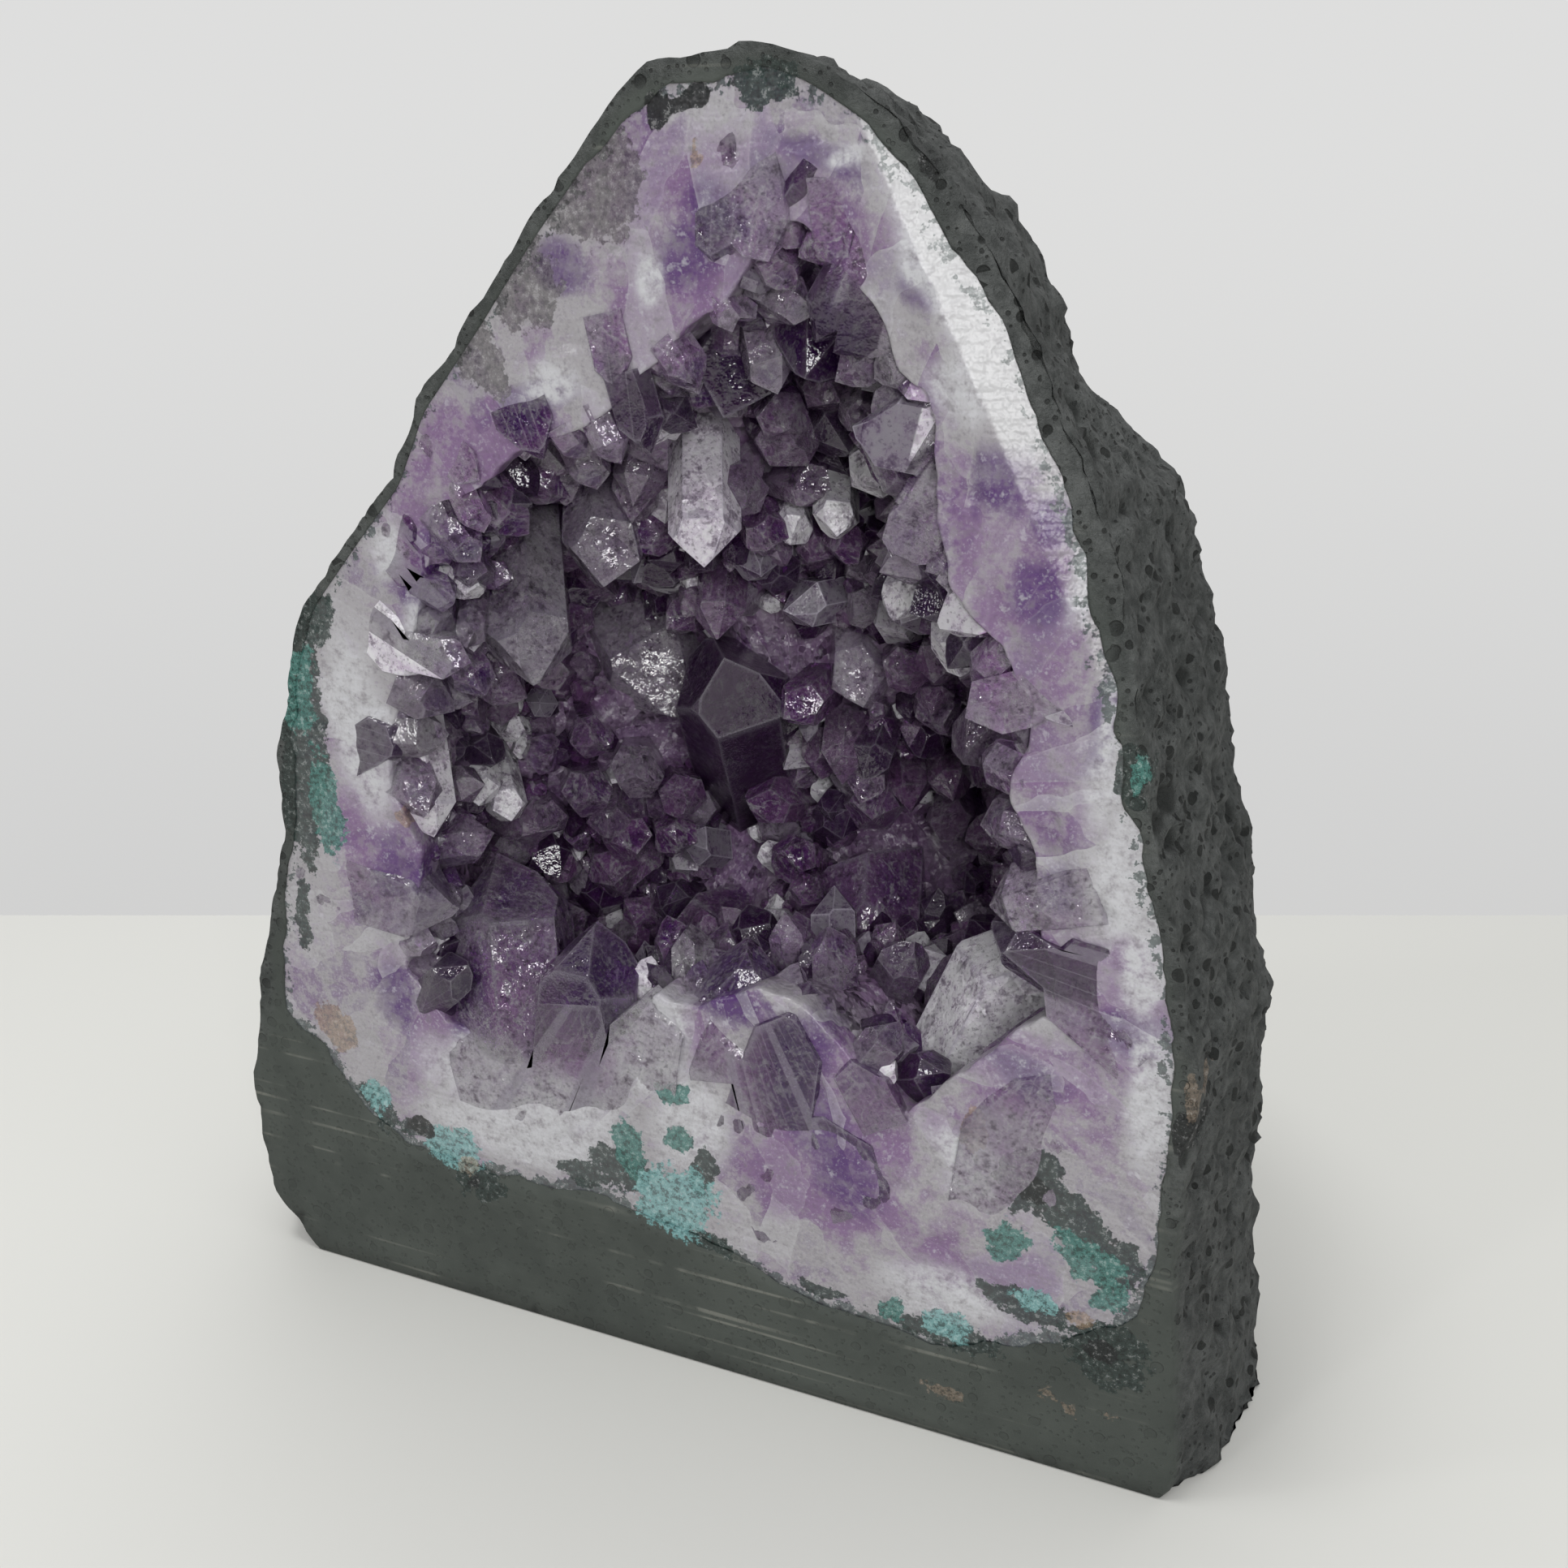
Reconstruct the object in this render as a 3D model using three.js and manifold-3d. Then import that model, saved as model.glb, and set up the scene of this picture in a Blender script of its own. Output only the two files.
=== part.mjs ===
// An amethyst cathedral geode: a tall stone egg sawn flat across its front and under its foot, so that it stands
// upright and shows the crystals that line its hollow. Two pieces: the dark basalt rind, and the quartz crust that
// grew on the rind's inside, whose outer layer is sawn flush with the stone and whose crystals point into the hollow.
// Millimetres, +Z up, -Y out of the sawn face. The origin is in the middle of the flat foot.
import * as THREE from "three";
import { mergeVertices } from "three/addons/utils/BufferGeometryUtils.js";
import Module from "manifold-3d";

const wasm = await Module();
wasm.setup();

// Driving dimensions
const HEIGHT = 250; // foot to peak
const DEPTH = 130; // sawn face to the back of the stone
const RIND_DEPTH = 108; // sawn face to the back of the quartz crust
const HOLLOW_DEPTH = 88; // sawn face to the back wall of the hollow
const SEAM = 0.35; // gap between the crust and the stone it grew on
const CUT_MARGIN = 40; // how far the cutting blocks reach past the stone

// Outlines in the plane of the sawn face, as [x, z], clockwise from the lower left. The foot plane cuts the outer
// one off at z = 0, and the part below it gives the underside its curve.
const STONE_OUTLINE = [
  [-86, -8], [-95, 3], [-103, 12], [-105, 40], [-101, 57], [-98, 72], [-92, 90], [-88, 105], [-87, 121],
  [-81, 142], [-76, 154], [-63, 169], [-53, 180], [-46, 194], [-34, 208], [-21, 224], [-11, 235], [-4, 243],
  [1, 247], [11, 247], [19, HEIGHT], [28, 247], [38, 241], [49, 229], [60, 213], [69, 195], [78, 175],
  [84, 149], [89, 129], [96, 102], [99, 90], [98, 66], [98, 52], [100, 28], [102, 6], [97, -10], [60, -26],
  [0, -32], [-60, -22],
];
const CRUST_OUTLINE = [
  [-90, 85], [-93, 63], [-77, 45], [-65, 36], [-44, 33], [-19, 36], [12, 29], [37, 22], [55, 21], [71, 26],
  [91, 38], [95, 51], [95, 81], [94, 97], [90, 115], [85, 129], [80, 150], [74, 172], [66, 193], [56, 212],
  [44, 229], [35, 239], [23, 245], [12, 244], [3, 243], [-7, 235], [-18, 223], [-31, 207], [-42, 195],
  [-49, 182], [-60, 169], [-71, 157], [-77, 145], [-82, 127], [-85, 105],
];
const HOLLOW_OUTLINE = [
  [-59, 90], [-62, 76], [-53, 66], [-42, 59], [-25, 62], [-12, 71], [-4, 82], [7, 82], [18, 87], [29, 86],
  [39, 76], [49, 66], [60, 81], [76, 98], [74, 108], [70, 118], [67, 135], [68, 152], [57, 166], [51, 181],
  [50, 197], [42, 210], [31, 222], [22, 226], [14, 214], [3, 206], [-14, 193], [-33, 184], [-46, 174],
  [-53, 156], [-57, 140], [-63, 124], [-58, 104],
];
const ROUGH_COARSE = 1.7; // height of the stone's broad lumps
const ROUGH_FINE = 1; // height of its small ones
const SMOOTHED_OVER = 0.09; // step, in radians, of the smoothing of the outlines' corners towards the back
const SWELLING = [[0, 0.19], [45, 0.15], [80, 0.11], [150, 0.09], [180, 0.07], [205, -0.02], [225, 0.02], [250, -0.02]]; // by height
const STONE_CENTRE = [3, 96];
const CRUST_CENTRE = [4, 118];
const HOLLOW_CENTRE = [5, 130];

// The peak's right shoulder was sawn once more, a little steeper than the face.
const SHOULDER_LINE = [[34, 240], [61, 188]]; // where the second cut leaves the face
const SHOULDER_TILT = 24; // degrees behind the face

// The largest crystals, each from its root in the wall to its point, as [x, depth behind the face, z], and its radius.
// A root that hangs short of the wall is carried on until it is in it.
const NAMED_CRYSTALS = {
  roof_left: { root: [2, 6, 233], point: [4, 8, 208], radius: 6.2 },
  roof_middle: { root: [11, 4, 238], point: [12, 4, 215], radius: 5.2 },
  roof_dark: { root: [-6, 56, 208], point: [-1, 36, 192], radius: 8.5 },
  roof_violet: { root: [18, 45, 212], point: [23, 14, 201], radius: 6.3 },
  roof_right: { root: [25, 42, 204], point: [26, 26, 189], radius: 4.4 },
  rim_drop: { root: [49, 6, 212], point: [54, 1, 196], radius: 4.4 },
  pale_pendant: { root: [-10, 42, 198], point: [2, 16, 165], radius: 6.8 },
  pale_twin: { root: [-8, 38, 195], point: [-7, 18, 184], radius: 3.9 },
  left_bud: { root: [-25, 20, 202], point: [-16, 6, 190], radius: 3.6 },
  left_upper_bud: { root: [-24, 14, 222], point: [-12, 1, 209], radius: 4.5 },
  left_sawn: { root: [-31, 10, 212], point: [-30, 9, 183], radius: 8.5 },
  left_cluster: { root: [-32, 44, 182], point: [-21, 20, 158], radius: 9 },
  left_pale: { root: [-50, 38, 168], point: [-34, 13, 140], radius: 9.4 },
  left_violet: { root: [-56, 17, 162], point: [-49, 2, 148], radius: 5.2 },
  left_wedge: { root: [-47, 15, 154], point: [-42, 4, 148], radius: 3.2 },
  left_stained: { root: [-66, 18, 136], point: [-55, 6, 107], radius: 6.6 },
  left_dark_bud: { root: [-57, 25, 143], point: [-46, 12, 137], radius: 3.4 },
  left_low_bud: { root: [-65, 13, 122], point: [-54, 2, 113], radius: 6 },
  left_arrow: { root: [-82, 3, 96], point: [-51, 6, 92], radius: 9.4 },
  left_frosted: { root: [-62, 36, 117], point: [-53, 20, 109], radius: 4.4 },
  left_frosted_low: { root: [-63, 42, 112], point: [-49, 25, 104], radius: 4.6 },
  tall_left: { root: [-37, 5, 50], point: [-53, 27, 94], radius: 14.5 },
  foot_left: { root: [-22, 3, 56], point: [-23, 14, 87], radius: 10 },
  foot_chip: { root: [-12, 9, 72], point: [-12, 16, 83], radius: 3.6 },
  foot_milky: { root: [-10, 2, 55], point: [-5, 4, 84], radius: 8.8 },
  foot_back: { root: [14, 4, 72], point: [11, 17, 89], radius: 9 },
  foot_pale: { root: [20, 6, 74], point: [21, 14, 89], radius: 6 },
  foot_middle: { root: [20, 1, 56], point: [27, 8, 87], radius: 8.8 },
  foot_sawn: { root: [17, 1, 46], point: [48, 11, 60], radius: 15.5 },
  foot_right: { root: [68, 1, 56], point: [72, 15, 90], radius: 14.5 },
  foot_dark: { root: [38, 22, 46], point: [36, 23, 79], radius: 11 },
  foot_tooth: { root: [47, 30, 58], point: [46, 36, 86], radius: 6.4 },
  silver_blade: { root: [50, 26, 58], point: [65, 36, 98], radius: 14.5 },
  reclining: { root: [8, 42, 60], point: [29, 64, 95], radius: 15 },
  reclining_left: { root: [-22, 38, 56], point: [-7, 62, 81], radius: 12 },
  right_arrow: { root: [76, 3, 119], point: [60, 7, 112], radius: 7 },
  right_back: { root: [56, 52, 142], point: [48, 30, 129], radius: 8.4 },
  right_low_back: { root: [14, 76, 108], point: [23, 50, 106], radius: 7 },
  frosted_right: { root: [44, 36, 172], point: [50, 16, 150], radius: 6.6 },
  frosted_small: { root: [38, 40, 170], point: [36, 22, 157], radius: 4.8 },
  frosted_tooth: { root: [1, 56, 182], point: [11, 35, 166], radius: 4.4 },
  frosted_tooth_right: { root: [13, 54, 183], point: [21, 32, 169], radius: 4.6 },
  frosted_ring: { root: [22, 52, 186], point: [30, 28, 179], radius: 5.6 },
  frosted_wedge: { root: [6, 54, 167], point: [24, 36, 165], radius: 3.8 },
  back_pale: { root: [12, 70, 152], point: [23, 43, 133], radius: 8.2 },
  back_frosted: { root: [-22, 84, 152], point: [-2, 60, 136], radius: 14 },
  back_slab: { root: [-54, 78, 142], point: [-24, 58, 120], radius: 15 },
  back_violet: { root: [-12, 80, 100], point: [-4, 44, 142], radius: 10.6 },
  cluster_low: { root: [-50, 58, 104], point: [-33, 31, 109], radius: 6 },
  cluster_middle: { root: [-50, 58, 118], point: [-34, 35, 120], radius: 5 },
  cluster_left: { root: [-62, 54, 112], point: [-45, 35, 115], radius: 5.2 },
  bright_point: { root: [-36, 60, 108], point: [-24, 35, 114], radius: 6.2 },
};

// The smaller crystals between them are scattered over the hollow's wall.
const FILLER_COUNT = 84;
const FILLER_RADIUS = [4.6, 8.6];
const FILLER_STANDS_OUT = [1.2, 2.1]; // length out of the wall, in radii
const FILLER_SEED = 41;
const ROOT_IN_WALL = 4; // how far a crystal's root goes into the wall
const TIP_SHARE = 1.15; // height of a crystal's pyramid, in radii

// Rings of faces from the front to the back of the three egg-shaped surfaces
const STONE_RINGS = 12;
const CRUST_RINGS = 10;
const HOLLOW_RINGS = 11;

// Small numeric helpers

function seededRandom(seed) {
  let state = seed >>> 0;
  return () => {
    state = (state + 0x6d2b79f5) >>> 0;
    let mixed = Math.imul(state ^ (state >>> 15), 1 | state);
    mixed = (mixed + Math.imul(mixed ^ (mixed >>> 7), 61 | mixed)) ^ mixed;
    return ((mixed ^ (mixed >>> 14)) >>> 0) / 4294967296;
  };
}

function between([low, high], share) {
  return low + (high - low) * share;
}

function latticeValue(i, j, k) {
  const hashed = Math.sin(i * 127.1 + j * 311.7 + k * 74.7) * 43758.5453;
  return (hashed - Math.floor(hashed)) * 2 - 1;
}

// Smooth noise from -1 to 1, with bumps about `size` millimetres across
function noise(x, y, z, size) {
  const at = [x / size, y / size, z / size];
  const cell = at.map(Math.floor);
  const part = at.map((v, n) => THREE.MathUtils.smoothstep(v - cell[n], 0, 1));
  let sum = 0;
  for (let corner = 0; corner < 8; corner++) {
    const step = [corner & 1, (corner >> 1) & 1, corner >> 2];
    const weight = step.reduce((w, s, n) => w * (s ? part[n] : 1 - part[n]), 1);
    sum += weight * latticeValue(cell[0] + step[0], cell[1] + step[1], cell[2] + step[2]);
  }
  return sum;
}

// Outlines as a radius round a centre

function pointOrder(points, centre, perPoint) {
  const loop = new THREE.CatmullRomCurve3(
    points.map(([x, z]) => new THREE.Vector3(x - centre[0], 0, z - centre[1])),
    true,
    "centripetal",
  );
  const placed = loop.getPoints(points.length * perPoint).slice(1);
  return placed.map((p) => [Math.atan2(p.z, p.x), Math.hypot(p.x, p.z)]).sort((a, b) => a[0] - b[0]);
}

function radiusRound(polar, angle) {
  const turned = Math.atan2(Math.sin(angle), Math.cos(angle));
  const next = polar.findIndex(([a]) => a >= turned);
  const [a1, r1] = polar[next < 0 ? 0 : next];
  const [a0, r0] = polar[next <= 0 ? polar.length - 1 : next - 1];
  const span = THREE.MathUtils.euclideanModulo(a1 - a0, 2 * Math.PI) || 1;
  return between([r0, r1], THREE.MathUtils.euclideanModulo(turned - a0, 2 * Math.PI) / span);
}

// The sides' swelling behind the face, as a share of the outline's width
function swellingAt(height) {
  const above = SWELLING.findIndex(([z]) => z >= height);
  if (above <= 0) return SWELLING.at(above)[1];
  const [[z0, low], [z1, high]] = SWELLING.slice(above - 1, above + 1);
  return between([low, high], (height - z0) / (z1 - z0));
}

// An egg-shaped surface: its outline at the face, swelling by its part of that share and then closing towards the
// back, while the outline's corners are smoothed away
function egg(points, centre, depth, { swell, fullness, perPoint }) {
  const polar = pointOrder(points, centre, perPoint);
  const smooth = polar.map(([angle]) => {
    const spread = [-3, -2, -1, 0, 1, 2, 3].map((n) => radiusRound(polar, angle + n * SMOOTHED_OVER));
    return [angle, spread.reduce((sum, r) => sum + r) / spread.length];
  });
  return {
    centre,
    depth,
    angles: polar.map(([angle]) => angle),
    radiusAt(angle, share) {
      const smoothness = THREE.MathUtils.smoothstep(share, 0.1, 0.9);
      const outline = between([radiusRound(polar, angle), radiusRound(smooth, angle)], smoothness);
      const swelling = swell * swellingAt(centre[1] + outline * Math.sin(angle));
      const closing = Math.sqrt(Math.max(0, 1 - share ** fullness));
      return outline * closing * (1 + swelling * Math.sin(Math.PI * share));
    },
    pointAt(angle, share) {
      const r = this.radiusAt(angle, share);
      return new THREE.Vector3(centre[0] + r * Math.cos(angle), depth * share, centre[1] + r * Math.sin(angle));
    },
    // Below 1 inside the egg and above 1 outside it
    fill(point) {
      const share = Math.max(0, point.y / depth);
      const dx = point.x - centre[0];
      const dz = point.z - centre[1];
      return share >= 1 ? 2 : Math.hypot(dx, dz) / Math.max(0.01, this.radiusAt(Math.atan2(dz, dx), share));
    },
  };
}

const stoneEgg = egg(STONE_OUTLINE, STONE_CENTRE, DEPTH, { swell: 1, fullness: 2.4, perPoint: 2 });
const crustEgg = egg(CRUST_OUTLINE, CRUST_CENTRE, RIND_DEPTH, { swell: 0.5, fullness: 2.2, perPoint: 1 });
const hollowEgg = egg(HOLLOW_OUTLINE, HOLLOW_CENTRE, HOLLOW_DEPTH, { swell: 0.9, fullness: 3.2, perPoint: 1 });

// Solids

function solidFrom(geometry) {
  geometry.deleteAttribute("normal");
  geometry.deleteAttribute("uv");
  const merged = mergeVertices(geometry, 1e-3);
  return new wasm.Manifold(
    new wasm.Mesh({
      numProp: 3,
      vertProperties: merged.attributes.position.array,
      triVerts: new Uint32Array(merged.index.array),
    }),
  );
}

// The closed solid inside an egg, from `front` millimetres before the face; `shift` moves each point of its surface
function eggSolid(shape, along, front, shift) {
  const around = shape.angles.length;
  const positions = [];
  const faces = [];
  const put = (point) => positions.push(point.x, point.y, point.z);
  for (let n = 0; n < along; n++) {
    const share = Math.sin((Math.max(0, n - 1) / (along - 1)) * (Math.PI / 2));
    for (const angle of shape.angles) {
      const point = shape.pointAt(angle, share);
      shift?.(point);
      if (n < 2) point.y = n === 0 ? -front : 0;
      put(point);
    }
  }
  const backPole = along * around;
  put(new THREE.Vector3(shape.centre[0], shape.depth, shape.centre[1]));
  put(new THREE.Vector3(shape.centre[0], -front, shape.centre[1]));
  for (let m = 0; m < around; m++) {
    const next = (m + 1) % around;
    for (let n = 0; n < along - 1; n++) {
      const [a, b] = [n * around + m, n * around + next];
      faces.push(a, a + around, b, b, a + around, b + around);
    }
    const last = (along - 1) * around;
    faces.push(last + m, backPole, last + next, backPole + 1, m, next);
  }
  const geometry = new THREE.BufferGeometry();
  geometry.setAttribute("position", new THREE.Float32BufferAttribute(positions, 3));
  geometry.setIndex(faces);
  return solidFrom(geometry);
}

function blockSolid(low, high) {
  const size = high.map((v, n) => v - low[n]);
  const block = new THREE.BoxGeometry(...size);
  block.translate(...low.map((v, n) => v + size[n] / 2));
  return solidFrom(block);
}

// Everything that the saw left: behind the face, above the foot and behind the shoulder's second cut
function sawnSpace() {
  const width = HEIGHT;
  const space = blockSolid([-width, 0, 0], [width, DEPTH + CUT_MARGIN, HEIGHT + CUT_MARGIN]);
  const [[x0, z0], [x1, z1]] = SHOULDER_LINE;
  const along = new THREE.Vector3(x1 - x0, 0, z1 - z0).normalize();
  const outward = new THREE.Vector3(-along.z, 0, along.x);
  const offcut = new THREE.BoxGeometry(HEIGHT, CUT_MARGIN, HEIGHT);
  offcut.translate(HEIGHT / 2, -CUT_MARGIN / 2, 0); // its back face is the cut, hinged on the line
  offcut.rotateZ(THREE.MathUtils.degToRad(SHOULDER_TILT));
  const placed = new THREE.Matrix4().makeBasis(outward, new THREE.Vector3(0, 1, 0), along.clone().negate());
  placed.setPosition((x0 + x1) / 2, 0, (z0 + z1) / 2);
  if (placed.determinant() < 0) throw new Error("the shoulder's frame is left-handed");
  return space.subtract(solidFrom(offcut.applyMatrix4(placed)));
}

function roughen(point) {
  const lump = ROUGH_COARSE * noise(point.x, point.y, point.z, 30) + ROUGH_FINE * noise(point.x, point.z, point.y, 12);
  const outward = new THREE.Vector3(point.x - STONE_CENTRE[0], 0.6 * point.y, point.z - STONE_CENTRE[1]).normalize();
  point.addScaledVector(outward, lump * THREE.MathUtils.smoothstep(point.y, 0, 45));
}

// Crystals

// A six-sided prism with a pyramid on it, along +Y from the origin, a little lopsided as real ones are
function crystalGeometry(radius, length, random) {
  const tip = Math.min(TIP_SHARE * radius * between([0.8, 1.15], random()), 0.75 * length);
  const profile = [
    new THREE.Vector2(0, 0),
    new THREE.Vector2(radius * 0.96, 0),
    new THREE.Vector2(radius, length - tip),
    new THREE.Vector2(0, length),
  ];
  const geometry = new THREE.LatheGeometry(profile, 6);
  const spots = geometry.attributes.position;
  const lean = [between([-0.22, 0.22], random()) * radius, between([-0.22, 0.22], random()) * radius];
  const flat = between([0.8, 1], random());
  for (let n = 0; n < spots.count; n++) {
    const apex = spots.getY(n) > length - 1e-6;
    spots.setX(n, spots.getX(n) * flat + (apex ? lean[0] : 0));
    spots.setZ(n, spots.getZ(n) / flat + (apex ? lean[1] : 0));
  }
  return geometry.rotateY(random() * Math.PI);
}

// How far a place hangs inside the hollow's plain wall
function hang(place) {
  const share = place.y / HOLLOW_DEPTH;
  const angle = Math.atan2(place.z - HOLLOW_CENTRE[1], place.x - HOLLOW_CENTRE[0]);
  return Math.max(0, hollowEgg.pointAt(angle, share).distanceTo(place));
}

// The wall swells inwards to meet the roots of the crystals that hang short of it
function swellToRoots(point) {
  const middle = new THREE.Vector3(HOLLOW_CENTRE[0], 0.4 * HOLLOW_DEPTH, HOLLOW_CENTRE[1]);
  const inward = middle.sub(point).normalize();
  const reach = Object.values(NAMED_CRYSTALS).map(({ root, radius }) => {
    const place = new THREE.Vector3(...root);
    const lump = 1.5 * radius + 10;
    const away = Math.max(0, place.distanceTo(point) - hang(place));
    return hollowEgg.fill(place) < 1 ? hang(place) * (1 - THREE.MathUtils.smoothstep(away, 0, lump)) : 0;
  });
  point.addScaledVector(inward, Math.max(...reach) * THREE.MathUtils.smoothstep(point.y, 0, 12));
}

// The crystal's solid from its point back along its axis until its root is inside the wall
function crystalSolid(root, point, radius, random) {
  const axis = point.clone().sub(root).normalize();
  const start = root.clone();
  for (let step = 0; step < 40 && hollowEgg.fill(start) < 1 && start.y > 0; step++) start.addScaledVector(axis, -1);
  start.addScaledVector(axis, -ROOT_IN_WALL);
  const geometry = crystalGeometry(radius, start.distanceTo(point), random);
  geometry.applyQuaternion(new THREE.Quaternion().setFromUnitVectors(new THREE.Vector3(0, 1, 0), axis));
  geometry.translate(start.x, start.y, start.z);
  return solidFrom(geometry);
}

function namedCrystals(random) {
  return Object.values(NAMED_CRYSTALS).map(({ root, point, radius }) =>
    crystalSolid(new THREE.Vector3(...root), new THREE.Vector3(...point), radius, random),
  );
}

// The direction into the hollow at a place on its wall
function inwardAt(angle, share) {
  const here = hollowEgg.pointAt(angle, share);
  const around = hollowEgg.pointAt(angle + 0.05, share).sub(here);
  const along = hollowEgg.pointAt(angle, Math.min(0.995, share + 0.02)).sub(here);
  const inward = around.cross(along).normalize();
  const middle = new THREE.Vector3(HOLLOW_CENTRE[0], HOLLOW_DEPTH * 0.4, HOLLOW_CENTRE[1]);
  return inward.dot(middle.sub(here)) < 0 ? inward.negate() : inward;
}

function isClearOfNamed(place, radius) {
  return Object.values(NAMED_CRYSTALS).every(({ root, point, radius: named }) => {
    const shaft = new THREE.Line3(new THREE.Vector3(...root), new THREE.Vector3(...point));
    const nearest = shaft.closestPointToPoint(place, true, new THREE.Vector3());
    return nearest.distanceTo(place) > named * 0.75 + radius * 0.5;
  });
}

function fillerCrystals(random) {
  const made = [];
  const places = [];
  for (let tries = 0; made.length < FILLER_COUNT && tries < 6000; tries++) {
    const angle = random() * 2 * Math.PI;
    const share = 0.06 + 0.9 * Math.sqrt(random());
    const radius = between(FILLER_RADIUS, random() ** 1.6);
    const wall = hollowEgg.pointAt(angle, share);
    swellToRoots(wall);
    const jitter = new THREE.Vector3(random() - 0.5, random() - 0.7, random() - 0.5).multiplyScalar(0.9);
    const axis = inwardAt(angle, share).add(jitter).normalize();
    const point = wall.clone().addScaledVector(axis, radius * between(FILLER_STANDS_OUT, random()));
    const isSpread = random() < hollowEgg.radiusAt(angle, share) / HOLLOW_DEPTH;
    if (!isSpread || point.y < 4 || !isClearOfNamed(point, radius)) continue;
    if (places.some(([spot, r]) => spot.distanceTo(point) < r + radius)) continue;
    places.push([point, radius]);
    made.push(crystalSolid(wall.clone().addScaledVector(axis, -radius), point, radius, random));
  }
  return made;
}

// The two pieces

function stoneSolid(sawn) {
  const outside = eggSolid(stoneEgg, STONE_RINGS, CUT_MARGIN / 4, roughen);
  return outside.subtract(eggSolid(crustEgg, CRUST_RINGS, CUT_MARGIN / 2)).intersect(sawn);
}

function crustSolid(sawn) {
  const random = seededRandom(FILLER_SEED);
  const tuck = (point) => {
    const middle = new THREE.Vector3(CRUST_CENTRE[0], point.y * 0.5, CRUST_CENTRE[1]);
    point.addScaledVector(middle.sub(point).normalize(), SEAM);
  };
  const outside = eggSolid(crustEgg, CRUST_RINGS, CUT_MARGIN / 4, tuck);
  const lining = outside.subtract(eggSolid(hollowEgg, HOLLOW_RINGS, CUT_MARGIN / 2, swellToRoots));
  const crystals = wasm.Manifold.union([...namedCrystals(random), ...fillerCrystals(random)]);
  const joined = lining.add(crystals).intersect(outside).intersect(sawn);
  const pieces = joined.decompose();
  return pieces.reduce((largest, piece) => (piece.volume() > largest.volume() ? piece : largest));
}

function meshOf(solid, name, material) {
  const made = solid.getMesh();
  const geometry = new THREE.BufferGeometry();
  geometry.setAttribute("position", new THREE.BufferAttribute(new Float32Array(made.vertProperties), 3));
  geometry.setIndex(new THREE.BufferAttribute(new Uint32Array(made.triVerts), 1));
  const mesh = new THREE.Mesh(geometry.toNonIndexed(), material);
  mesh.geometry.computeVertexNormals();
  mesh.name = name;
  return mesh;
}

const basaltMaterial = new THREE.MeshStandardMaterial({ color: 0x474e4a, roughness: 0.85, metalness: 0 });
const amethystMaterial = new THREE.MeshStandardMaterial({ color: 0x6d5a78, roughness: 0.25, metalness: 0 });

const sawn = sawnSpace();
const geode = new THREE.Group();
geode.name = "amethyst_cathedral_geode";
geode.add(meshOf(stoneSolid(sawn), "basalt_rind", basaltMaterial));
geode.add(meshOf(crustSolid(sawn), "amethyst_crust", amethystMaterial));
geode.children.forEach((piece) => piece.position.set(0, -DEPTH / 2, 0));

export default geode;
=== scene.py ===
"""An amethyst cathedral geode: a sawn basalt egg lined with quartz.

Sizes are in millimetres until a mesh is made: x to the right along the sawn face, depth behind the face and
z above the foot."""

import math
import random

import bmesh
import bpy
import numpy as np
from mathutils import Matrix, Vector
from mathutils.kdtree import KDTree


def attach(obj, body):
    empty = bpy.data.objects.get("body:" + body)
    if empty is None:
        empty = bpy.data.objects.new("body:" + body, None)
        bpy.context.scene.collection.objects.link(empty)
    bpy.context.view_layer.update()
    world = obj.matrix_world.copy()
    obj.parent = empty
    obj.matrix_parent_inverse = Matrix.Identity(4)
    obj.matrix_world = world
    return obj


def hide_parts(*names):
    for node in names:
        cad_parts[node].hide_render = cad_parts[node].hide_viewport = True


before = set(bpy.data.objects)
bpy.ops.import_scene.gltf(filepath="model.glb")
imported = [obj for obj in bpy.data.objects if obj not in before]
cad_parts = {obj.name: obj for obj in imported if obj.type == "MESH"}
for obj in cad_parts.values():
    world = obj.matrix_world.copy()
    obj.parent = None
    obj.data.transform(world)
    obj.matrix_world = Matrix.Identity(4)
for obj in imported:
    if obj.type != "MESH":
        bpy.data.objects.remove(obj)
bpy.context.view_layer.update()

# Sizes of the stone
DEPTH = 130.0
RIND_DEPTH = 108.0
HOLLOW_DEPTH = 88.0
FACE_OFFSET = 65.0  # the face lies this far in front of the frame's origin
MM = 0.001
SHOULDER_START = np.array([34.0, 240.0])  # the line where the shoulder's second cut leaves the face
SHOULDER_END = np.array([61.0, 188.0])
SHOULDER_TILT = math.radians(24)
RIM_LIMIT = 0.975  # the quartz ends at this share of the way from the stone's middle to its outline

STONE_CENTRE = np.array([3.0, 96.0])
CRUST_CENTRE = np.array([4.0, 118.0])
HOLLOW_CENTRE = np.array([5.0, 130.0])

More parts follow.
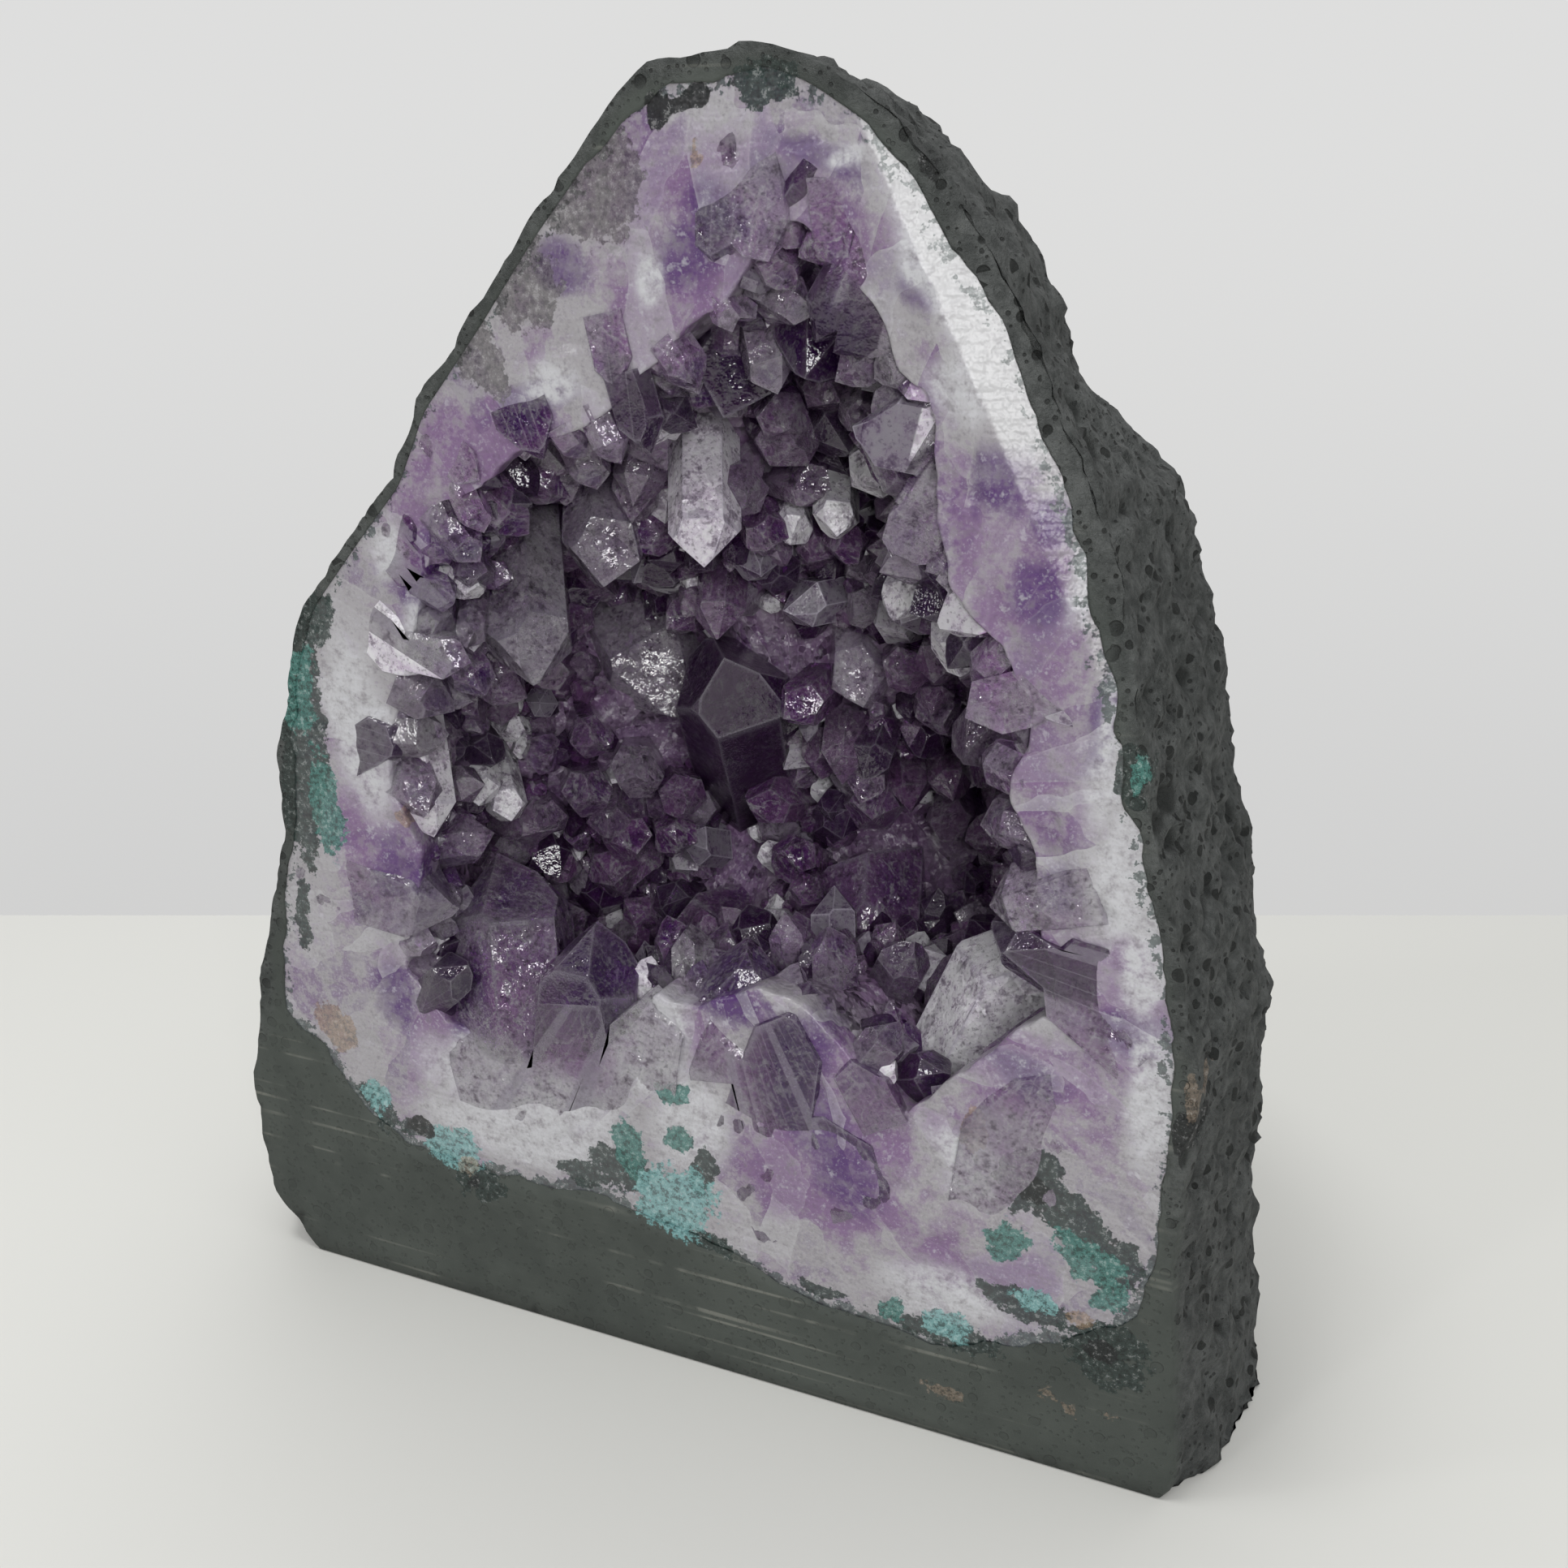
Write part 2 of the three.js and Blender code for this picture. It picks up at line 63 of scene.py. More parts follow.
# Outlines in the plane of the face, clockwise from the lower left
STONE_OUTLINE = [
    (-86, -8), (-95, 3), (-103, 12), (-105, 40), (-101, 57), (-98, 72), (-92, 90), (-88, 105), (-87, 121),
    (-81, 142), (-76, 154), (-63, 169), (-53, 180), (-46, 194), (-34, 208), (-21, 224), (-11, 235), (-4, 243),
    (1, 247), (11, 247), (19, 250), (28, 247), (38, 241), (49, 229), (60, 213), (69, 195), (78, 175),
    (84, 149), (89, 129), (96, 102), (99, 90), (98, 66), (98, 52), (100, 28), (102, 6), (97, -10), (60, -26),
    (0, -32), (-60, -22),
]
CRUST_OUTLINE = [
    (-90, 85), (-93, 63), (-84, 55), (-77, 45), (-65, 36), (-44, 33), (-19, 36), (-6, 33), (12, 29),
    (31, 23), (43, 23), (55, 21), (71, 26), (81, 31), (91, 38), (95, 51), (95, 81), (94, 97), (90, 115),
    (85, 129), (80, 150), (74, 172), (66, 193), (56, 212), (44, 229), (35, 239), (23, 245), (12, 244),
    (3, 243), (-7, 235), (-18, 223), (-31, 207), (-42, 195), (-49, 182), (-60, 169), (-71, 157), (-77, 145),
    (-82, 127), (-85, 105),
]
HOLLOW_OUTLINE = [
    (-59, 90), (-62, 76), (-53, 66), (-42, 59), (-25, 62), (-12, 71), (-4, 82), (7, 82), (18, 87), (29, 86),
    (39, 76), (49, 66), (60, 81), (76, 98), (74, 108), (70, 118), (67, 135), (68, 152), (57, 166), (51, 181),
    (50, 197), (42, 210), (31, 222), (22, 226), (14, 214), (3, 206), (-14, 193), (-33, 184), (-46, 174),
    (-53, 156), (-57, 140), (-63, 124), (-58, 104),
]
SWELLING = [
    (0, 0.19), (45, 0.15), (80, 0.11), (150, 0.09), (180, 0.07), (205, -0.02), (225, 0.02), (250, -0.02),
]

# The largest crystals: root, point, radius, how violet (0 to 1) and how milky (0 to 1) each is
CRYSTALS = {
    "roof_left": ((2, 6, 233), (4, 8, 208), 6.2, 0.5, 0.5),
    "roof_middle": ((11, 4, 238), (12, 4, 215), 5.2, 0.8, 0.3),
    "roof_dark": ((2, 36, 217), (7, 15, 193), 12.0, 1.0, 0.0),
    "roof_violet": ((22, 34, 218), (24, 9, 200), 7.4, 0.9, 0.0),
    "roof_right": ((25, 42, 204), (26, 26, 189), 4.4, 0.4, 0.3),
    "rim_drop": ((49, 6, 212), (54, 1, 196), 4.4, 0.1, 0.8),
    "pale_pendant": ((-10, 42, 198), (2, 16, 165), 7.2, 0.1, 0.5),
    "pale_twin": ((-4, 30, 203), (-7, 14, 186), 4.4, 0.1, 0.6),
    "left_bud": ((-25, 20, 202), (-16, 6, 190), 3.6, 0.4, 0.4),
    "left_upper_bud": ((-24, 14, 222), (-12, 1, 209), 4.5, 0.4, 0.4),
    "left_sawn": ((-31, 10, 212), (-30, 9, 183), 8.5, 0.6, 0.5),
    "left_cluster": ((-32, 44, 182), (-21, 20, 158), 9.0, 0.35, 0.35),
    "left_pale": ((-50, 38, 168), (-34, 13, 140), 10.4, 0.2, 0.44),
    "left_violet": ((-56, 17, 162), (-49, 2, 148), 5.2, 0.7, 0.2),
    "left_wedge": ((-47, 15, 154), (-42, 4, 148), 3.2, 0.1, 0.2),
    "left_stained": ((-66, 18, 136), (-55, 6, 107), 6.6, 0.2, 0.6),
    "left_dark_bud": ((-57, 25, 143), (-46, 12, 137), 3.4, 0.9, 0.0),
    "left_low_bud": ((-65, 13, 122), (-54, 2, 113), 6.0, 0.5, 0.3),
    "left_arrow": ((-82, 3, 96), (-51, 6, 92), 9.4, 0.7, 0.3),
    "left_frosted": ((-62, 36, 117), (-53, 20, 109), 4.4, 0.1, 0.8),
    "left_frosted_low": ((-63, 42, 112), (-49, 25, 104), 4.6, 0.1, 0.8),
    "tall_left": ((-37, 5, 50), (-53, 27, 94), 14.5, 0.55, 0.1),
    "foot_left": ((-22, 3, 56), (-22, 13, 89), 11.8, 0.85, 0.1),
    "foot_chip": ((-12, 9, 72), (-12, 16, 83), 3.6, 0.1, 0.5),
    "foot_milky": ((-8, 2, 52), (-4, 4, 84), 10.0, 0.1, 0.44),
    "foot_back": ((12, 6, 70), (9, 17, 91), 10.0, 0.7, 0.1),
    "foot_pale": ((20, 6, 74), (21, 14, 89), 6.0, 0.4, 0.3),
    "foot_middle": ((18, 1, 54), (26, 8, 88), 12.0, 0.85, 0.1),
    "foot_sawn": ((17, 1, 46), (48, 11, 60), 15.5, 0.8, 0.1),
    "foot_right": ((68, 1, 56), (72, 15, 90), 14.5, 0.6, 0.2),
    "foot_dark": ((38, 22, 46), (36, 23, 79), 11.0, 0.7, 0.0),
    "foot_tooth": ((47, 30, 58), (46, 36, 86), 6.4, 0.4, 0.2),
    "silver_blade": ((50, 26, 58), (65, 36, 98), 14.5, 0.0, 0.9),
    "reclining": ((8, 42, 60), (29, 64, 95), 15.0, 0.7, 0.1),
    "reclining_left": ((-22, 38, 56), (-7, 62, 81), 12.0, 0.7, 0.1),
    "right_arrow": ((76, 3, 119), (60, 7, 112), 7.0, 0.4, 0.3),
    "right_back": ((56, 52, 142), (48, 30, 129), 8.4, 0.5, 0.2),
    "right_low_back": ((14, 76, 108), (23, 50, 106), 7.0, 0.6, 0.1),
    "frosted_right": ((44, 36, 172), (50, 16, 150), 6.6, 0.0, 1.0),
    "frosted_small": ((38, 40, 170), (36, 22, 157), 4.8, 0.0, 1.0),
    "frosted_tooth": ((1, 56, 182), (11, 35, 166), 4.4, 0.0, 1.0),
    "frosted_tooth_right": ((13, 54, 183), (21, 32, 169), 4.6, 0.0, 1.0),
    "frosted_ring": ((22, 52, 186), (30, 28, 179), 5.6, 0.3, 0.8),
    "frosted_wedge": ((6, 54, 167), (24, 36, 165), 3.8, 0.6, 0.0),
    "back_pale": ((12, 70, 152), (23, 43, 133), 8.2, 0.3, 0.44),
    "back_frosted": ((-22, 84, 152), (-2, 56, 138), 15.0, 0.0, 0.5),
    "back_slab": ((-54, 78, 142), (-24, 56, 121), 15.0, 0.0, 0.44),
    "back_violet": ((-14, 74, 98), (-3, 36, 141), 12.6, 1.0, 0.0),
    "cluster_low": ((-50, 58, 104), (-33, 31, 109), 6.0, 0.6, 0.1),
    "cluster_middle": ((-50, 58, 118), (-34, 35, 120), 5.0, 0.5, 0.1),
    "cluster_left": ((-62, 54, 112), (-45, 35, 115), 5.2, 0.5, 0.2),
    "bright_point": ((-36, 60, 108), (-24, 35, 114), 6.2, 0.2, 0.3),
}

# Markings on the sawn face: x and z of the middle, half width and half height, turn in degrees
VIOLET = [
    (12, 225, 5.5, 4.6, 0), (30, 233, 7.5, 2.2, -25), (22, 230, 5.8, 3.8, 0), (46, 215, 3.2, 4.0, 20),
    (6, 218, 6.2, 4.6, 0), (-23, 195, 8.5, 3.6, 20), (-16, 216, 5.0, 4.2, 0), (-47, 157, 6.2, 5.2, 0),
    (-43, 168, 6.6, 5.0, 0), (-59, 100, 8.5, 6.2, 0), (-64, 70, 4.8, 8.2, 15), (-46, 70, 5.2, 8.0, 0),
    (-17, 82, 7.6, 5.8, 0), (-13, 75, 6.2, 4.2, 0), (10, 85, 10.1, 4.2, -10), (27, 80, 6.0, 6.6, 0),
    (29, 66, 6.4, 10.0, 25), (37, 54, 6.4, 9.0, 25), (73, 119, 3.4, 5.0, 0), (87, 96, 8.0, 4.4, 0),
    (69, 84, 8.2, 3.6, -15), (60, 187, 6.2, 5.4, -40), (68, 181, 3.8, 4.4, 0), (66, 170, 4.5, 6.0, 0),
    (78, 150, 3.0, 8.0, -15), (-70, 92, 3.0, 3.0, 0),
]
LILAC = [
    (23, 52, 8.6, 10.4, 0), (44, 68, 5.6, 9.4, 0), (33, 60, 14.0, 21.0, 25), (85, 100, 8.0, 16.0, 0),
    (-30, 72, 22.0, 10.0, 0), (0, 222, 14.0, 16.0, 20), (-38, 180, 14.0, 22.0, -38), (66, 160, 9.0, 32.0, 12),
    (70, 84, 14.0, 8.0, 0), (-64, 108, 10.0, 14.0, 0), (24, 226, 16.0, 10.0, -30), (60, 40, 16.0, 7.0, 0),
]
WHITE = [
    (0, 216, 2.2, 4.2, 0), (34, 232, 2.8, 1.5, 0), (53, 200, 5.0, 5.4, 0), (-5, 74, 8.4, 11.0, 0),
    (-66, 129, 6.4, 18.7, 8), (-35, 55, 24.0, 8.8, -6), (-36, 45, 24.0, 6.0, -4), (84, 128, 5.0, 16.0, -10),
    (4, 58, 8.0, 12.0, 0), (56, 33, 12.0, 6.0, 0), (60, 62, 6.0, 8.0, 30), (-20, 198, 5.0, 4.0, 0),
    (88, 108, 4.0, 9.0, 0), (-50, 150, 4.0, 6.0, 0), (-56, 166, 4.0, 5.0, 0), (48, 219, 4.0, 16.0, 28),
    (82, 152, 4.5, 20.0, -14), (91, 84, 4.0, 14.0, 0), (76, 176, 3.0, 12.0, -18), (62, 112, 5.0, 6.0, 0),
]
SMOKY = [
    (-10, 232, 8.6, 12.0, 20), (-24, 215, 7.0, 9.0, 20), (-33, 202, 4.0, 9.0, 30), (-12, 226, 9.0, 6.0, 0),
]
TEAL = [
    (-79, 136, 3.4, 9.0, -12), (-76, 113, 3.6, 11.0, 6), (0, 64, 3.5, 2.6, 0), (1, 54, 2.5, 3.4, 0),
    (-10, 49, 4.1, 6.8, 0), (67, 48, 3.6, 4.9, 0), (82, 50, 7.9, 3.4, -28), (88, 42, 3.7, 3.8, 0),
    (47, 26, 2.6, 3.1, 0), (84, 142, 1.4, 2.8, 0),
]
TURQUOISE = [
    (0, 39, 9.8, 8.0, 0), (-52, 39, 7.6, 4.6, -10), (58, 26, 5.4, 3.0, 0), (-71, 45, 4.0, 3.4, -35),
    (74, 38, 4.0, 2.0, 0),
]
DARK_GREEN = [
    (83, 142, 3.0, 4.9, 0), (72, 62, 6.6, 6.4, 0), (80, 56, 8.9, 4.6, -35), (72, 36, 9.0, 3.6, -5),
    (32, 26, 4.8, 1.9, 0), (-71, 44, 6.9, 3.0, -35), (-21, 40, 5.8, 2.6, 0), (-80, 124, 5.4, 26.0, -6),
    (-74, 151, 4.2, 5.7, -30), (6, 46, 3.0, 6.0, 0), (-12, 44, 7.0, 5.0, 0), (-84, 86, 2.0, 9.0, 0),
    (58, 24, 13.0, 2.4, -4), (20, 244, 6.3, 3.1, -10), (-62, 40, 3.0, 2.6, 0), (5, 31, 9.0, 2.0, -14),
    (87, 29, 8.7, 7.2, 0), (-46, 30, 7.2, 5.2, 0), (88, 48, 4.0, 6.0, 0),
]
BLACK = [
    (3, 239, 2.5, 2.3, 0), (9, 241, 2.2, 1.7, 0), (6, 240, 3.4, 1.2, 0), (47, 231, 2.5, 1.8, 0),
    (54, 229, 1.8, 1.1, 0), (-60, 41, 3.2, 2.5, 0), (97, 79, 2.4, 4.7, 0), (-46, 30, 3.0, 2.0, 0),
    (86, 29, 3.4, 2.4, 0), (73, 60, 3.0, 2.4, 0),
]
RUST = [
    (9, 232, 1.1, 1.9, 0), (60, 70, 3.0, 4.6, 15), (-57, 112, 2.6, 2.0, 0), (82, 36, 2.7, 2.2, 0),
    (-48, 36, 2.3, 1.6, 0), (-80, 61, 4.4, 5.6, 30), (57, 11, 4.8, 1.6, 0), (83, 16, 6.0, 1.6, 0),
    (98, 86, 1.2, 4.6, 0), (-30, 66, 1.5, 1.0, 0),
]
MARKINGS = {
    "violet": VIOLET, "lilac": LILAC, "white": WHITE, "smoky": SMOKY, "teal": TEAL, "turquoise": TURQUOISE,
    "dark_green": DARK_GREEN, "black": BLACK, "rust": RUST,
}


# Number tools


def lattice(i, j, k):
    hashed = np.sin(i * 127.1 + j * 311.7 + k * 74.7) * 43758.5453
    return (hashed - np.floor(hashed)) * 2 - 1


def noise(points, size):
    """Smooth noise from -1 to 1 at each point, with bumps about size across."""
    at = points / size
    cell = np.floor(at)
    part = at - cell
    part = part * part * (3 - 2 * part)
    total = np.zeros(len(points))
    for corner in range(8):
        step = np.array([corner & 1, (corner >> 1) & 1, corner >> 2])
        weight = np.prod(np.where(step, part, 1 - part), axis=1)
        total += weight * lattice(*(cell + step).T)
    return total


def rugged(points, size, layers):
    """Noise at several sizes, each half the size and strength of the one before."""
    return sum(noise(points + 31 * n, size / 2**n) / 2**n for n in range(layers))


def smoothstep(low, high, value):
    t = np.clip((value - low) / (high - low), 0, 1)
    return t * t * (3 - 2 * t)


def unit(vectors):
    return vectors / np.linalg.norm(vectors, axis=1, keepdims=True)


def at_depth(centre, depth):
    """A centre in the plane of the face, moved back by the depth."""
    return np.array([centre[0], depth, centre[1]])


def from_centre(points, centre):
    """How far each point lies from a centre, seen from the front."""
    return np.hypot(*(points[:, [0, 2]] - centre).T)


def marked(points, patches, softness=0.45):
    """1 inside the patches, 0 well outside, fading over softness of each one's half size."""
    wander = np.stack([rugged(points + 50, 9, 3), rugged(points + 90, 9, 3)], axis=1) * 1.6
    flat = points[:, [0, 2]] + wander
    strength = np.zeros(len(points))
    for x, z, wide, high, turn in patches:
        across = flat - (x, z)
        c, s = math.cos(math.radians(turn)), math.sin(math.radians(turn))
        u = (across[:, 0] * c + across[:, 1] * s) / wide
        v = (across[:, 1] * c - across[:, 0] * s) / high
        strength = np.maximum(strength, 1 - smoothstep(1 - softness, 1 + softness, np.hypot(u, v)))
    return strength


def face_markings(points, names):
    """The strength of each named marking at each point, gone a little way behind the sawn face."""
    near = 1 - smoothstep(4, 16, points[:, 1])
    return {name: marked(points, MARKINGS[name]) * near for name in names}


# Egg shapes


class Egg:
    """A closed surface whose front is an outline in the sawn face, closing to a rounded back."""

    def __init__(self, outline, centre, depth, swell, fullness):
        self.centre, self.depth, self.swell, self.fullness = centre, depth, swell, fullness
        corners = np.array(outline, float) - centre
        fine = np.concatenate([
            a + (b - a) * np.linspace(0, 1, 24, endpoint=False)[:, None]
            for a, b in zip(corners, np.roll(corners, -1, axis=0))
        ])
        angle = np.arctan2(fine[:, 1], fine[:, 0])
        order = np.argsort(angle)
        self.table = np.linspace(-math.pi, math.pi, 1440, endpoint=False)
        radius = np.interp(self.table, angle[order], np.hypot(*fine[order].T), period=2 * math.pi)
        self.sharp = self.blurred(radius, 3)
        self.smooth = self.blurred(radius, 75)

    @staticmethod
    def blurred(radius, spread):
        reach = np.arange(-2 * spread, 2 * spread + 1)
        weight = np.exp(-0.5 * (reach / spread) ** 2)
        weight /= weight.sum()
        wrapped = np.concatenate([radius[-2 * spread:], radius, radius[:2 * spread]])
        return np.convolve(wrapped, weight, mode="valid")

    def radius(self, angle, share):
        sharp = np.interp(angle, self.table, self.sharp, period=2 * math.pi)
        smooth = np.interp(angle, self.table, self.smooth, period=2 * math.pi)
        mix = smoothstep(0.1, 0.9, share)
        outline = sharp * (1 - mix) + smooth * mix
        heights, swellings = zip(*SWELLING)
        swelling = self.swell * np.interp(self.centre[1] + outline * np.sin(angle), heights, swellings)
        closing = np.sqrt(np.maximum(0, 1 - share**self.fullness))
        return outline * closing * (1 + swelling * np.sin(math.pi * share))

    def points(self, angle, share):
        r = self.radius(angle, share)
        depth = self.depth * share * np.ones_like(angle)
        x, z = self.centre[0] + r * np.cos(angle), self.centre[1] + r * np.sin(angle)
        return np.stack([x, depth, z], axis=-1)

    def fill(self, points):
        """Below 1 inside the egg, above 1 outside."""
        share = np.clip(points[:, 1] / self.depth, 0, 1)
        across = points[:, [0, 2]] - self.centre
        r = self.radius(np.arctan2(across[:, 1], across[:, 0]), share)
        return np.hypot(*across.T) / np.maximum(r, 0.01)


stone_egg = Egg(STONE_OUTLINE, STONE_CENTRE, DEPTH, 1.0, 2.4)
crust_egg = Egg(CRUST_OUTLINE, CRUST_CENTRE, RIND_DEPTH, 0.5, 2.2)
hollow_egg = Egg(HOLLOW_OUTLINE, HOLLOW_CENTRE, HOLLOW_DEPTH, 0.9, 3.2)


def crust_edge(angle):
    """The ragged line where quartz meets stone on the face, near the stone's outline at the upper left."""
    rim = crust_egg.points(angle, 0.0)
    away = unit(rim - at_depth(CRUST_CENTRE, 0))
    upper_left = smoothstep(120, 150, rim[:, 2]) * smoothstep(-2, -20, rim[:, 0])
    rim = rim + away * (1.1 * rugged(rim, 6, 3) + 1.6 * upper_left)[:, None]
    beyond = np.maximum(0, stone_egg.fill(rim) - RIM_LIMIT) * from_centre(rim, STONE_CENTRE)
    return rim - away * beyond[:, None], away


def past_shoulder(points):
    """How far each point lies beyond the line where the shoulder's cut begins."""
    along = (SHOULDER_END - SHOULDER_START) / np.linalg.norm(SHOULDER_END - SHOULDER_START)
    return (points[:, [0, 2]] - SHOULDER_START) @ np.array([-along[1], along[0]])


def saw(points, behind=0.0):
    """Moves points in front of the sawn face or the shoulder's cut back onto it, and those under the foot."""
    cut = behind + np.maximum(0, past_shoulder(points)) * math.tan(SHOULDER_TILT)
    points[:, 1] = np.maximum(points[:, 1], cut)
    points[:, 2] = np.maximum(points[:, 2], 0)
    return points


# Meshes


def linked(name, data):
    """A new object in the scene that shows the data."""
    made = bpy.data.objects.new(name, data)
    bpy.context.collection.objects.link(made)
    return made


def add_values(mesh, values):
    """Stores a number or a vector for each point of a mesh under each name."""
    for key, value in values.items():
        value = np.asarray(value, np.float32)
        kind, field = ("FLOAT_VECTOR", "vector") if value.ndim == 2 else ("FLOAT", "value")
        mesh.attributes.new(key, kind, "POINT").data.foreach_set(field, value.ravel())


def mesh_object(name, points, faces, values):
    """A piece of the model, placed in the frame, with its values."""
    mesh = bpy.data.meshes.new(name)
    placed = (np.asarray(points, float) - (0, FACE_OFFSET, 0)) * MM
    mesh.from_pydata(placed.tolist(), [], faces)
    add_values(mesh, values)
    mesh.validate()
    return linked(name, mesh)


def raw_object(name, points, faces):
    """A helper in millimetres, in the stone's own coordinates, that is not part of the model."""
    mesh = bpy.data.meshes.new(name)
    mesh.from_pydata(np.asarray(points, float).tolist(), [], faces)
    return linked(name, mesh)


def turn_outwards(mesh):
    """Reverses the faces of a closed mesh that point inwards."""
    work = bmesh.new()
    work.from_mesh(mesh)
    if work.calc_volume(signed=True) < 0:
        bmesh.ops.reverse_faces(work, faces=work.faces)
    work.to_mesh(mesh)
    work.free()


def loft_faces(rings, around):
    """Quads between rings that run in order, with a fan at each end onto its pole."""
    n = np.arange(around)
    after = (n + 1) % around
    faces = []
    for ring in range(rings - 1):
        a, b = ring * around, (ring + 1) * around
        faces += np.stack([a + n, a + after, b + after, b + n], axis=1).tolist()
    last, pole = (rings - 1) * around, rings * around
    faces += np.stack([np.full(around, pole), after, n], axis=1).tolist()
    faces += np.stack([last + n, last + after, np.full(around, pole + 1)], axis=1).tolist()
    return faces


def loft(name, rings, first_pole, last_pole, values):
    around = len(rings[0])
    points = np.concatenate(rings + [[first_pole], [last_pole]])
    piece = mesh_object(name, points, loft_faces(len(rings), around), values(points))
    turn_outwards(piece.data)
    piece.data.shade_smooth()
    return piece


def grid_normals(grid):
    """Outward-ish normals of a grid of rings."""
    around = np.roll(grid, -1, axis=1) - np.roll(grid, 1, axis=1)
    along = np.gradient(grid, axis=0)
    normal = np.cross(along, around)
    return normal / np.maximum(np.linalg.norm(normal, axis=2, keepdims=True), 1e-9)


# The rough stone

STONE_AROUND = 500
STONE_RINGS = 150
LUMP_COARSE = 1.7
LUMP_FINE = 1.0
PITS = 3600
PIT_RADIUS = (1.2, 3.2)
FACE_RINGS = 8
INSIDE_SHARES = (0.9, 0.75, 0.55, 0.35, 0.15, 0.05)  # depths of the rings inside the stone, behind the quartz
STONE_MARKINGS = ("teal", "turquoise", "dark_green", "black", "rust")
# Knobs that stand out of the right side: place, radius and height
KNOBS = [
    ((67, 38, 208), 4.5, 3.8), ((61, 30, 219), 5.0, 1.8), ((96, 40, 128), 4.0, 1.8), ((92, 48, 152), 3.5, 1.6),
]

def stone_lumps(points):
    turned = points[:, [0, 2, 1]]
    outward = unit((points - at_depth(STONE_CENTRE, 0)) * (1, 0.6, 1))
    lump = LUMP_COARSE * noise(points, 30) + LUMP_FINE * noise(turned, 12)
    return outward * (lump * smoothstep(0, 45, points[:, 1]))[:, None]


def pitted(points, count, radii, seed):
    """Depth of round pits at random places among the points."""
    rng = random.Random(seed)
    depth = np.zeros(len(points))
    tree = KDTree(len(points))
    for index, point in enumerate(points):
        tree.insert(point, index)
    tree.balance()
    for _ in range(count):
        centre = points[rng.randrange(len(points))]
        radius = radii[0] + (radii[1] - radii[0]) * rng.random() ** 3
        for _place, index, away in tree.find_range(centre, radius):
            depth[index] = max(depth[index], 0.8 * radius * (1 - (away / radius) ** 2))
    return depth


def make_stone():
    angle = np.linspace(-math.pi, math.pi, STONE_AROUND, endpoint=False)
    along = np.linspace(0, 1, STONE_RINGS, endpoint=False)
    shares = np.sin(along * math.pi / 2) ** 1.05
    outside = np.stack([stone_egg.points(angle, share) for share in shares])
    flat = outside.reshape(-1, 3)
    flat += stone_lumps(flat)
    normal = grid_normals(outside).reshape(-1, 3)
    facing = np.sign(np.sum(normal * (flat - at_depth(STONE_CENTRE, 40)), axis=1, keepdims=True))
    normal *= facing
    behind = smoothstep(0, 6, flat[:, 1])
    rough = 1.0 * rugged(flat, 11, 2) + 1.15 * rugged(flat + 7, 4.0, 3)
    rough -= 0.9 * np.maximum(0, noise(flat + 60, 3.4) - 0.25)
    edge_rough = 0.8 * rugged(flat + 3, 6, 3)
    pits = pitted(flat, PITS, PIT_RADIUS, 5)
    for place, radius, height in KNOBS:
        rough += height * (1 - smoothstep(0.3, 1.0, np.linalg.norm(flat - place, axis=1) / radius))
    height = rough * behind + edge_rough * (1 - behind) - pits * (0.35 + 0.65 * behind) - 0.4
    flat += normal * height[:, None]
    flat[:STONE_AROUND, 1] = 0
    rings = list(saw(flat).reshape(outside.shape))

    outer = rings[0].copy()
    across = outer[:, [0, 2]] - CRUST_CENTRE
    angle = np.unwrap(np.arctan2(across[:, 1], across[:, 0]))
    rim, _away = crust_edge(angle)
    face = [saw(rim + (outer - rim) * t) for t in np.linspace(0, 1, FACE_RINGS + 1)[:-1]]
    inside = [saw(crust_egg.points(angle, share)) for share in INSIDE_SHARES]
    first_pole, last_pole = at_depth(CRUST_CENTRE, RIND_DEPTH), at_depth(STONE_CENTRE, DEPTH)
    skipped = (len(inside) + len(face)) * STONE_AROUND

    def values(points):
        found = face_markings(points, STONE_MARKINGS)
        from_edge = (1 - stone_egg.fill(points)) * from_centre(points, STONE_CENTRE)
        edge = smoothstep(5.5, 0.5, from_edge + 1.5 * noise(points, 5)) * smoothstep(40, 75, points[:, 2])
        found["behind"] = np.maximum(smoothstep(0.1, 3.5, points[:, 1]), 0.85 * edge)
        # Depth of the stone's pits, which the basalt's colour darkens as painted shade
        found["pit"] = np.concatenate([np.zeros(skipped), pits, [0, 0]])
        return found

    return loft("basalt_stone", inside + face + rings, first_pole, last_pole, values)


# The quartz lining: rim, hollow wall and the surface against the stone

LINING_AROUND = 640
RIM_RINGS = 44
RIM_RECESS = 1.5  # how far behind the saw cut the lining lies between the crystals' heads
WALL_RINGS = 46
BACK_SHARES = (0.95, 0.85, 0.7, 0.5, 0.3, 0.12)  # depths of the rings against the stone
HOLLOW_MIDDLE = at_depth(HOLLOW_CENTRE, 0.4 * HOLLOW_DEPTH)


def hang(place):
    """How far a place hangs inside the hollow's plain wall."""
    across = np.array([place[0], place[2]]) - HOLLOW_CENTRE
    angle = np.array([math.atan2(across[1], across[0])])
    wall = hollow_egg.points(angle, np.array([min(0.999, place[1] / HOLLOW_DEPTH)]))[0]
    return float(np.linalg.norm(wall - place))


def swell_to_roots(points):
    """The wall swells inwards to meet the roots of the crystals that hang short of it."""
    inward = unit(HOLLOW_MIDDLE - points)
    reach = np.zeros(len(points))
    for root, _point, radius, *_look in CRYSTALS.values():
        place = np.array(root, float)
        if hollow_egg.fill(place[None])[0] >= 1:
            continue
        short = hang(place)
        away = np.maximum(0, np.linalg.norm(points - place, axis=1) - short)
        reach = np.maximum(reach, short * (1 - smoothstep(0, 1.5 * radius + 10, away)))
    return inward * (reach * smoothstep(0, 12, points[:, 1]))[:, None]


